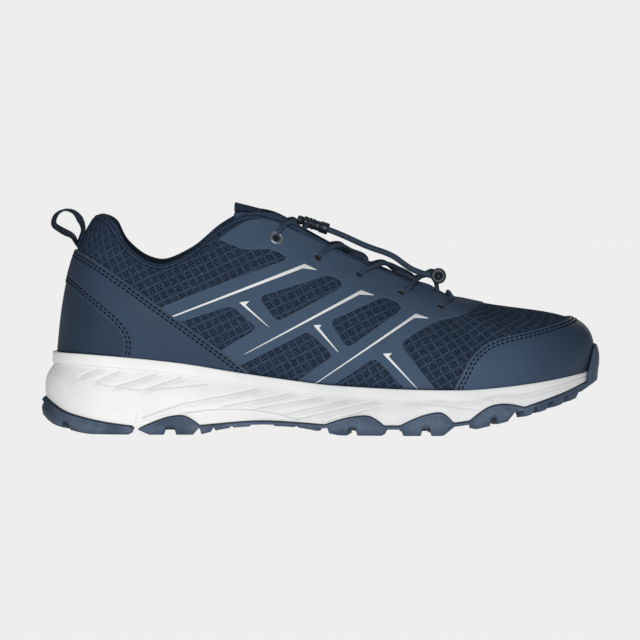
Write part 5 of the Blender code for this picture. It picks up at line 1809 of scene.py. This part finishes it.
trim_strips = []
rough_t, rough_v = np.meshgrid(np.linspace(0.08, 0.45, 300), np.linspace(0, 1, 90))
rough_t, rough_v = rough_t.ravel(), rough_v.ravel()
rough_spots = side_view(last_surface(rough_t, rough_v))
for pixels in TRIM_LINES:
    line = np.array(seen(pixels))
    near = outline_gap(line, rough_spots)[0] < TRIM_MARGIN
    ways = (rough_t[near].min(), rough_t[near].max())
    shares = (rough_v[near].min(), rough_v[near].max())
    for ends in (ways, (1 - ways[1], 1 - ways[0])):
        strip = cut_sheet(ends, shares, TRIM_CELL, lambda t, v: cut_gap([line], t, v), (-TRIM_EDGE,))
        trim_strips.append(panel_from("trim_line", strip, trim_height, TRIM_UNDER, trim))
trim_lines = join(trim_strips, "trim_lines")
fit(trim_lines, "eyestay_film")


# Toe bumper. The forefoot rubber is turned up over the toe and cemented to the toe cap, so it is one
# piece with that rubber, moulded with a soft edge.
# half-width in per cent of the ring, height share and standoff of the bumper's rows over the toe cap
TOE_BUMPER = [(2.5, 0.04, 5.3), (2.0, 0.09, 4.6), (1.1, 0.15, 3.1)]
BUMPER_HALF = 2.7
BUMPER_COLUMNS = 9
BUMPER_BITE = 1.2
BUMPER_ROOT = 3.3
BUMPER_TUCK = 1.6
BUMPER_CLEAR = 0.35
BUMPER_OUT = 4.1
BUMPER_LIFT = 1.75
# setback of its chin, which runs down into the tread, and height over the tread
BUMPER_CHIN = [(4.6, 0.6), (1.0, 2.3)]
CHIN_BITE = 6.4
BUMPER_SHADE = 0.4


def sheet_solid(name, front, back, uv=None):
    """Closed skin between two grids of points with the same rows and columns, and their UVs."""
    rows, columns = front.shape[:2]
    half = rows * columns

    def at(i, j, layer):
        return layer * half + i * columns + j

    faces = []
    for i in range(rows - 1):
        for j in range(columns - 1):
            faces.append((at(i, j, 0), at(i, j + 1, 0), at(i + 1, j + 1, 0), at(i + 1, j, 0)))
            faces.append((at(i + 1, j, 1), at(i + 1, j + 1, 1), at(i, j + 1, 1), at(i, j, 1)))
    border = [(0, j) for j in range(columns - 1)] + [(i, columns - 1) for i in range(rows - 1)]
    border += [(rows - 1, j) for j in range(columns - 1, 0, -1)] + [(i, 0) for i in range(rows - 1, 0, -1)]
    for (i, j), (k, m) in zip(border, border[1:] + border[:1]):
        faces.append((at(k, m, 0), at(i, j, 0), at(i, j, 1), at(k, m, 1)))
    corner_uv = None if uv is None else np.tile(uv.reshape(-1, 2), (2, 1))[np.array(faces).ravel()]
    piece = build(name, np.vstack([front.reshape(-1, 3), back.reshape(-1, 3)]), faces, corner_uv)
    outward(piece)
    return piece


def subdivided(piece, levels):
    bpy.context.view_layer.objects.active = piece
    smoother = piece.modifiers.new("subdivision", "SUBSURF")
    smoother.levels = levels
    smoother.render_levels = levels
    bpy.ops.object.modifier_apply(modifier=smoother.name)
    piece.data.shade_smooth()


def toe_bumper():
    across = np.linspace(-1, 1, BUMPER_COLUMNS)
    t = 0.5 + across * BUMPER_HALF / 100
    root = foam_edge(t) - GAP - RUBBER / 2
    bite = inset_ring(t, CHIN_BITE)
    inner = [raised(bite, profile("foam", bite[:, 0]) - GAP - RUBBER / 2)]
    inner.append(raised(inset_ring(t, BUMPER_BITE + BUMPER_TUCK), root - GAP))
    inner.append(raised(inset_ring(t, BUMPER_BITE), root))
    outer = []
    for setback, over in BUMPER_CHIN:
        flat = inset_ring(t, setback)
        outer.append(raised(flat, profile("tread", flat[:, 0]) + over))
    outer.append(raised(inset_ring(t, -BUMPER_ROOT), root - GAP))
    for z in (foam_edge(t) - 2 * GAP, feather_ring(t)[:, 2]):
        inner.append(raised(inset_ring(t, -BUMPER_CLEAR), z))
        outer.append(raised(inset_ring(t, -BUMPER_OUT), z))
    for half, share, standoff in TOE_BUMPER:
        t = 0.5 + across * half / 100
        inner.append(on_last(t, np.full_like(t, share), BUMPER_LIFT))
        outer.append(on_last(t, np.full_like(t, share), standoff))
    piece = sheet_solid("toe_bumper", np.array(outer), np.array(inner))
    subdivided(piece, 2)
    note_points(piece, "mark", np.full(len(piece.data.vertices), BUMPER_SHADE))
    return piece


front_rubber = join([front_rubber, toe_bumper()], "forefoot_rubber")
for piece, node in ((heel_rubber, "outsole_heel"), (front_rubber, "outsole_forefoot")):
    piece.data.materials.clear()
    piece.data.materials.append(rubber)
    fit(piece, "outsole_rubber", node)


# Tongue. Foam between two layers of close knit, sewn in under the front of the throat and lying free
# under its edges; two sewn channels run up it, and its top stands clear of the collar.
TONGUE_THICK = 4.0
TONGUE_GAP = 0.6
TONGUE_WAYS = (0.94, 0.51)
TONGUE_ROWS = 40
TONGUE_UNDER = (0.84, 0.92, 1.0)
TONGUE_COLUMNS = 45
# way round the opening, and how far the tongue's middle lies below its edges there
TONGUE_DIP = [(0.51, 2.2), (0.72, 0.9), (0.86, -2.2), (0.94, 0.0)]
# step back, step up and width of each row of the free top
TONGUE_TOP = [(8.0, 1.4, 0.80), (7.5, 0.6, 0.95), (7.0, 0.3, 0.92)]
TONGUE_CHANNEL = 0.3
CHANNEL_DEPTH = 0.9
CHANNEL_HALF = 0.05
# shares of its width and height where its padding begins to thin, and how much of it goes
THIN_FROM = (0.86, 0.95)
THIN_SHARE = 0.7
TOP_ROWS = 13
TONGUE_TONE = (46, 61, 82)


def tongue_row(way):
    """Points across the tongue, from under one edge of the throat to under the other."""
    sides = []
    for t in (way / 2, 1 - way / 2):
        under = np.array(TONGUE_UNDER)
        ways = np.full_like(under, t)
        deep = wall_at(ways, under) + TONGUE_GAP
        sides.append(last_surface(ways, under) - last_normal(ways, under) * deep[:, None])
    middle = opening_ring(np.array([way / 2, 1 - way / 2])).mean(axis=0)
    middle[2] -= np.interp(way, *np.array(TONGUE_DIP).T)
    points = np.vstack([sides[0], middle, sides[1][::-1]])
    run = run_along(points)
    return curve_through(run, points, np.linspace(0, run[-1], TONGUE_COLUMNS))


def tongue_grid():
    """Face of the tongue, from the front of the throat up to its free top."""
    rows = [tongue_row(way) for way in np.linspace(*TONGUE_WAYS, TONGUE_ROWS)]
    tops = [rows[-1]]
    for back, up, width in TONGUE_TOP:
        row = tops[-1].copy()
        middle = row[len(row) // 2]
        row[:, 1] = middle[1] + (row[:, 1] - middle[1]) * width
        tops.append(row + np.array([-back, 0, up]))
    flat = np.array(tops).reshape(len(tops), -1)
    eased_top = curve_through(np.arange(len(tops)), flat, np.linspace(0, len(tops) - 1, TOP_ROWS))
    return np.concatenate([np.array(rows), eased_top.reshape(TOP_ROWS, -1, 3)[1:]])


def grid_normals(grid):
    along, across = np.gradient(grid, axis=0), np.gradient(grid, axis=1)
    normal = np.cross(across, along)
    normal /= np.linalg.norm(normal, axis=2)[:, :, None]
    return normal * np.sign(normal[:, :, 2].mean())


def thinned(share, start):
    """How much padding is missing towards an edge, from a share of the way on."""
    over = np.clip((share - start) / (1 - start), 0, 1)
    return TONGUE_THICK * (1 - np.sqrt(np.maximum(1 - over**2, 0))) * THIN_SHARE


tongue_face = tongue_grid()
tongue_up = grid_normals(tongue_face)
across = np.abs(np.linspace(-1, 1, TONGUE_COLUMNS))[None, :, None]
to_top = np.linspace(0, 1, len(tongue_face))[:, None, None]
channels = CHANNEL_DEPTH * np.exp(-(((across - TONGUE_CHANNEL) / CHANNEL_HALF) ** 2))
thin = np.maximum(thinned(across, THIN_FROM[0]), thinned(to_top, THIN_FROM[1]))
tongue_front = tongue_face - tongue_up * (channels + thin / 2)
tongue_back = tongue_face - tongue_up * (TONGUE_THICK - thin / 2)
tongue = sheet_solid("padded_tongue", tongue_front, tongue_back)
tongue.data.materials.append(lining_cloth("tongue_knit", TONGUE_TONE))
fit(tongue, "tongue_fabric", "tongue")


# Tongue tab and pull loop. Woven tape, 1.2 mm thick: a strip folded over the tongue's top, and a finger
# loop whose two ends are sewn in behind the heel under the quarter panel.
WEBBING = 1.2
TAB_LIFT = 0.3
# height of the folded tab over the tongue, from its front to its fold
TAB_HEIGHTS = (1.5, 4.4)
TAB_ROWS = 9
TAB_REACH = 9
TAB_WIDTH = 10.0
TAB_LENGTH = 13.0
TAB_ROUND = 0.35
TAB_ROUND_FROM = 40
LOOP_WIDTH = 11.0
# height share and standoff on the heel of the loop's sewn-in foot, and of its head
LOOP_FOOT = [(0.762, -0.6), (0.785, 1.7)]
LOOP_HEAD = [(0.885, 1.15), (0.84, 0.8), (0.80, 0.7), (0.765, 0.3)]
LOOP_ROWS = 120
LOOP_COLUMNS = 13
PULL_LOOP = [
    (-131.3, 103.0),
    (-136.9, 106.2),
    (-141.6, 110.0),
    (-140.2, 114.8),
    (-135.8, 117.3),
    (-130.8, 116.1),
    (-127.6, 112.2),
]
# how far the near edge of the loop leans along its way, from foot to head
LOOP_TWIST = ((0.0, 0.4), (0.2, 1.3), (0.42, 0.9), (0.52, 0.2), (0.72, 1.9), (0.86, 0.8), (1.0, 0.3))
TAPE_TONE = (46, 59, 77)
TAPE_DARK = (24, 33, 45)
TAPE_RIB = 0.9
TAPE_WEFT = 0.55


def tape_finish(name):
    """Twill tape: slanting ribs that run along it, and a plain selvedge."""
    made, tree, shader = finish(name, TAPE_TONE, 0.8, Specular_IOR_Level=0.1)
    along, wide = own_uv(tree)
    slant = calc(tree, "MULTIPLY", calc(tree, "ADD", along, wide), 2 * math.pi / TAPE_RIB)
    rib = calc(tree, "SINE", slant)
    weft = calc(tree, "SINE", calc(tree, "MULTIPLY", wide, 2 * math.pi / TAPE_WEFT))
    weave = calc(tree, "MULTIPLY_ADD", calc(tree, "ADD", rib, calc(tree, "MULTIPLY", weft, 0.5)), 0.33, 0.5)
    colour_by(tree, shader, blend(tree, weave, TAPE_DARK, TAPE_TONE))
    relief(tree, shader, weave, 0.2)
    return made


tape = tape_finish("woven_tape")


def behind_heel(rows):
    """Places on the middle of the heel at height shares and standoffs."""
    shares, lifts = np.array(rows).T
    middle = np.zeros(len(rows))
    return last_surface(middle, shares) + last_normal(middle, shares) * lifts[:, None]


loop_foot, loop_head = behind_heel(LOOP_FOOT), behind_heel(LOOP_HEAD)
loop_route = np.concatenate([loop_foot[:, [0, 2]], PULL_LOOP, loop_head[:, [0, 2]]])
loop_run = run_along(loop_route)
loop_at = np.linspace(0, loop_run[-1], LOOP_ROWS)
loop_line = curve_through(loop_run, loop_route, loop_at)
loop_way = np.gradient(loop_line, axis=0)
loop_way /= np.linalg.norm(loop_way, axis=1)[:, None]
loop_out = np.column_stack([-loop_way[:, 1], np.zeros(LOOP_ROWS), loop_way[:, 0]])
loop_across = np.linspace(-1, 1, LOOP_COLUMNS)
loop_lean = np.interp(loop_at / loop_run[-1], *np.array(LOOP_TWIST).T)
loop_grid = np.empty((LOOP_ROWS, LOOP_COLUMNS, 3))
loop_grid[:, :, 0] = loop_line[:, 0, None]
loop_grid[:, :, 1] = loop_foot[0, 1] + loop_across * LOOP_WIDTH / 2
loop_grid[:, :, 2] = loop_line[:, 1, None]
loop_grid -= loop_out[:, None, :] * (loop_lean[:, None] * loop_across)[:, :, None]
loop_half = (WEBBING / 2 * (1 - loop_across**8 * 0.6))[None, :, None] * loop_out[:, None, :]
loop_uv = np.stack(np.meshgrid(loop_across * LOOP_WIDTH / 2, loop_at)[::-1], axis=-1)
pull_loop = sheet_solid("heel_pull_loop", loop_grid + loop_half, loop_grid - loop_half, loop_uv)
pull_loop.data.materials.append(tape)
fit(pull_loop, "webbing", "pull_loop")

tab_columns = slice(TONGUE_COLUMNS // 2 - TAB_REACH, TONGUE_COLUMNS // 2 + TAB_REACH + 1)
tab_base, tab_up = tongue_face[-TAB_ROWS:, tab_columns], tongue_up[-TAB_ROWS:, tab_columns]
tab_across = np.linspace(-TAB_WIDTH / 2, TAB_WIDTH / 2, tab_base.shape[1])
tab_uv = np.stack(np.meshgrid(tab_across, np.linspace(0, TAB_LENGTH, TAB_ROWS))[::-1], axis=-1)
tab_heights = np.linspace(*TAB_HEIGHTS, TAB_ROWS)[:, None, None]
tab = sheet_solid("tongue_tape_tab", tab_base + tab_up * tab_heights, tab_base + tab_up * TAB_LIFT, tab_uv)
bevelled(tab, TAB_ROUND, 2, TAB_ROUND_FROM)
tab.data.materials.append(tape)
fit(tab, "webbing", "tongue_tab")


# Eyelets. The top one on each side is a rolled metal ring, coated grey; the four below it are punched
# through film and mesh, and a dark disc in each paints the shade inside the hole.
RING_RADIUS = 3.05
RING_ROLL = 0.88
RING_FLAT = 0.62
RING_TONE = (152, 159, 168)
RING_SCUFF = (92, 101, 114)
RING_CLEAR = 0.15
HOLE_PAINTED_SHADE = (4, 6, 9)
HOLE_UNDER = 0.4
HOLE_DISH = 0.25
HOLE_LIFT = -0.05


def set_on_last(piece, t, v, lift):
    """Lay a piece that is modelled flat at the origin onto the last."""
    spot = on_last(np.array([t]), np.array([v]), lift)[0]
    turn = Vector(last_normal([t], [v])[0]).to_track_quat("Z", "Y").to_matrix().to_4x4()
    piece.data.transform(Matrix.Translation(Vector(spot) * MM) @ turn)


metal, metal_tree, metal_shader = finish("eyelet_metal", RING_TONE, 0.36, Metallic=0.7)
scuff = place_noise(metal_tree, 1.2)
colour_by(metal_tree, metal_shader, blend(metal_tree, scuff, RING_SCUFF, RING_TONE))
relief(metal_tree, metal_shader, scuff, 0.03)
hole_painted_shade, hole_tree, hole_shader = finish("painted_hole_shade", HOLE_PAINTED_SHADE, 0.95)
relief(hole_tree, hole_shader, place_noise(hole_tree, 0.5), 0.1)
punched = []
for number, (spot, share) in enumerate(EYELET_SPOTS):
    for way, name in ((spot, "lateral"), (1 - spot, "medial")):
        bpy.ops.object.select_all(action="DESELECT")
        wide = (PUNCH_RADIUS + HOLE_UNDER) * MM
        bpy.ops.mesh.primitive_circle_add(vertices=24, radius=wide, fill_type="NGON")
        hole = bpy.context.object
        bpy.ops.object.mode_set(mode="EDIT")
        bpy.ops.mesh.extrude_region_move(TRANSFORM_OT_translate={"value": (0, 0, HOLE_DISH * MM)})
        bpy.ops.transform.resize(value=(0.9, 0.9, 1))
        bpy.ops.mesh.select_all(action="SELECT")
        bpy.ops.mesh.normals_make_consistent(inside=False)
        bpy.ops.object.mode_set(mode="OBJECT")
        set_on_last(hole, way, share, HOLE_LIFT)
        hole.data.materials.append(hole_painted_shade)
        punched.append(hole)
        if number == 0:
            bpy.ops.mesh.primitive_torus_add(
                major_radius=RING_RADIUS * MM,
                minor_radius=RING_ROLL * MM,
                major_segments=40,
                minor_segments=14,
            )
            ring = bpy.context.object
            ring.data.transform(Matrix.Diagonal((1, 1, RING_FLAT, 1)))
            set_on_last(ring, way, share, FILM_THICK + RING_CLEAR)
            ring.name = "top_eyelet_" + name
            ring.data.materials.append(metal)
            ring.data.shade_smooth()
            fit(ring, "eyelet_metal", "eyelet_" + name)
holes = join(punched, "painted_eyelet_shade")
fit(holes, "eyelet_metal")


# Lace. One elastic braided cord that comes out of each eyelet, goes over the throat's edge and dives
# under the opposite one; a bar lies across the front, and the top strands run into the lock.
# share of the way from a hole to the throat's edge, and standoff of the lace there
OUT_OF_HOLE = [(0.1, -1.4), (0.17, 0.4), (0.36, 1.6), (0.66, 1.7)]
# drawn thin by its pull
STRAND_RADIUS = 1.2
STRAND_STEP = 0.9
LACE_RIM = 1.4
# a strand that rises more than this over the edge is pulled straight from its hole
PULLED_CLEAR = 3.0
LACE_CLEAR = 0.2
# rise of each pair's two strands where they cross, the last pair over the free lace
LACE_OVER = {1: (2.1, 0.0), 2: (2.1, 0.0), 3: (6.6, 4.2)}
# how far behind the next lace a strand goes under the edge, from which share of the way, and how deep
DIVE_BACK = 2.2
DIVE_FROM = 0.7
DIVE_UNDER = np.array([0, 0, 2.2])
# distance along the lock, to the side and up, of the last two points of a top strand
INTO_LOCK = [(-7.0, 5.0, -4.4), (-4.2, 1.6, -1.4)]
LOCK_CENTRE = np.array([-2.6, -4.0, 109.5])
LOCK_SLOPE = math.radians(18.5)
LOCK_AXIS = np.array([math.cos(LOCK_SLOPE), 0, -math.sin(LOCK_SLOPE)])


def edge_way(station):
    """Ring position on the outer side where the throat's edge has come to this station."""
    t = np.linspace(0.1, 0.5, 400)
    return np.interp(station_x(station), opening_ring(t)[:, 0], t)


def over_rim(t, rise):
    """Middle of a lace that turns over the edge of the throat."""
    t = np.array([t])
    edge, below = last_surface(t, np.ones(1))[0], last_surface(t, np.full(1, 0.98))[0]
    up = (edge - below) / np.linalg.norm(edge - below)
    return edge + last_normal(t, np.ones(1))[0] * LACE_RIM + up * rise


def on_tongue(way, side, share):
    """Middle of a lace on the tongue, at a share of the way from its middle to one edge of the throat."""
    row = tongue_row(way)
    middle = row[TONGUE_COLUMNS // 2]
    rim = opening_ring(np.array([on_side(way / 2, side)]))[0]
    x, y = (middle + (rim - middle) * share)[:2]
    return np.array([x, y, np.interp(y, row[:, 1], row[:, 2]) + LACE_CLEAR + STRAND_RADIUS])


def out_of_eyelet(number, side):
    """Route from inside an eyelet, over the film, to the edge of the throat."""
    start, share = EYELET_SPOTS[number]
    end = edge_way(EYELETS[number][2])
    route = []
    steps = OUT_OF_HOLE[:2] if EYELETS[number][3] > PULLED_CLEAR else OUT_OF_HOLE
    for part, lift in steps:
        t = on_side(start + (end - start) * part, side)
        route.append(on_last(np.array([t]), np.array([share + (1 - share) * part]), lift)[0])
    return route + [over_rim(on_side(end, side), EYELETS[number][3])]


def crossing(first, second, side, lift):
    """Route from an eyelet on one side to under the throat's other edge."""
    end = edge_way(EYELETS[second][2] - DIVE_BACK)
    middle = on_tongue(edge_way(EYELETS[first][2]) + end, side, 0.0) + np.array([0, 0, lift])
    dive = on_tongue(2 * end, -side, DIVE_FROM)
    under = on_tongue(2 * end, -side, 1.0) - DIVE_UNDER
    return out_of_eyelet(first, side) + [middle, dive, under]


def lace_strand(name, route):
    strand = cord_mesh(name, smooth_route(route, STRAND_STEP), STRAND_RADIUS)
    strand.data.materials.append(lace_braid)
    return strand


for first in (1, 2, 3):
    strands = [
        lace_strand("strand_%d_%d" % (first, side), crossing(first, first + 1, side, lift))
        for side, lift in zip((-1, 1), LACE_OVER[first])
    ]
    pair = join(strands, "lace_pair_%d" % first)
    fit(pair, "lace_cord", "lace_crossing_%d" % first)
front_middle = on_tongue(2 * edge_way(EYELETS[4][2]), -1, 0.0)
bar = lace_strand("front_lace", out_of_eyelet(4, -1) + [front_middle] + out_of_eyelet(4, 1)[::-1])
fit(bar, "lace_cord", "lace_bar")
for side, name in ((-1, "lateral"), (1, "medial")):
    into_lock = [LOCK_CENTRE + LOCK_AXIS * run + np.array([0, side * out, up]) for run, out, up in INTO_LOCK]
    tail = lace_strand("lock_lace_" + name, out_of_eyelet(0, side) + into_lock)
    fit(tail, "lace_cord", "lace_tail_" + name)


# Cord lock. A barrel of dark moulded plastic with a waist and a flange, and a sprung plunger in its
# rear end; the lace is gripped between the two.
# distance along the barrel and radius
LOCK_BARREL = [
    (-6.5, 2.2),
    (-6.5, 2.6),
    (-6.2, 2.9),
    (-4.4, 2.9),
    (-4.1, 2.6),
    (-3.6, 2.6),
    (-3.3, 3.0),
    (-2.6, 3.0),
    (-2.3, 2.6),
    (-1.8, 2.6),
    (-1.5, 3.0),
    (-0.8, 3.0),
    (-0.5, 2.65),
    (2.6, 2.65),
    (3.0, 3.1),
    (6.6, 3.1),
    (7.2, 2.95),
    (7.5, 2.6),
    (7.5, 1.9),
    (6.9, 1.8),
]
PLUNGER = [(-10.0, 1.2), (-9.9, 1.8), (-9.5, 2.2), (-9.0, 2.3), (-6.9, 2.3), (-6.8, 2.0), (-5.5, 2.0)]
lock = turned("lock_barrel", LOCK_BARREL, LOCK_CENTRE, LOCK_AXIS)
lock.data.materials.append(moulded)
fit(lock, "lock_plastic", "cord_lock_barrel")
plunger = turned("lock_plunger", PLUNGER, LOCK_CENTRE, LOCK_AXIS)
plunger.data.materials.append(moulded)
fit(plunger, "lock_plastic", "cord_lock_plunger")


# Insole. Foam under a dark knit cover, loose in the shoe, with a soft edge that stands up along the wall
# of the foam below.
INSOLE_THICK = 4.0
# setback and rise of its edge over the bed, then setback and drop of its rim from the foam's inner edge
INSOLE_EDGE = [(1.0, 0.0), (0.3, 0.3), (0.0, 1.2)]
INSOLE_RIM = [(0.0, 0.75), (-1.1, 0.6), (-1.2, 0.3), (-0.8, 0.0), (0.6, 0.1)]
INSOLE_DISH = [(1.7, 0.3), (3.0, 0.0)]
INSOLE_OVER = 0.8
INSOLE_COLUMNS = 240
t = np.arange(INSOLE_COLUMNS) / INSOLE_COLUMNS
insole_inset = last_sections(t)[4] + LEDGE_IN + GAP
insole_flat = inset_ring(t, insole_inset)
insole_bed = profile("footbed", insole_flat[:, 0]) + GAP
insole_top = insole_bed + INSOLE_THICK
insole_rim = np.maximum(profile("feather", insole_flat[:, 0]) + INSOLE_OVER, insole_top)
insole_rings = [spine_ring(t, "footbed", GAP)]
for back, rise in INSOLE_EDGE:
    insole_rings.append(raised(inset_ring(t, insole_inset + back), insole_bed + rise))
for back, drop in INSOLE_RIM:
    insole_rings.append(raised(inset_ring(t, insole_inset + back), insole_rim - drop))
for back, rise in INSOLE_DISH:
    insole_rings.append(raised(inset_ring(t, insole_inset + back), insole_top + rise))
insole_rings.append(spine_ring(t, "footbed", GAP + INSOLE_THICK))
insole = loft("knit_insole", insole_rings, [0] * len(insole_rings))
insole.data.materials.append(collar_lining)
fit(insole, "insole_fabric", "insole")
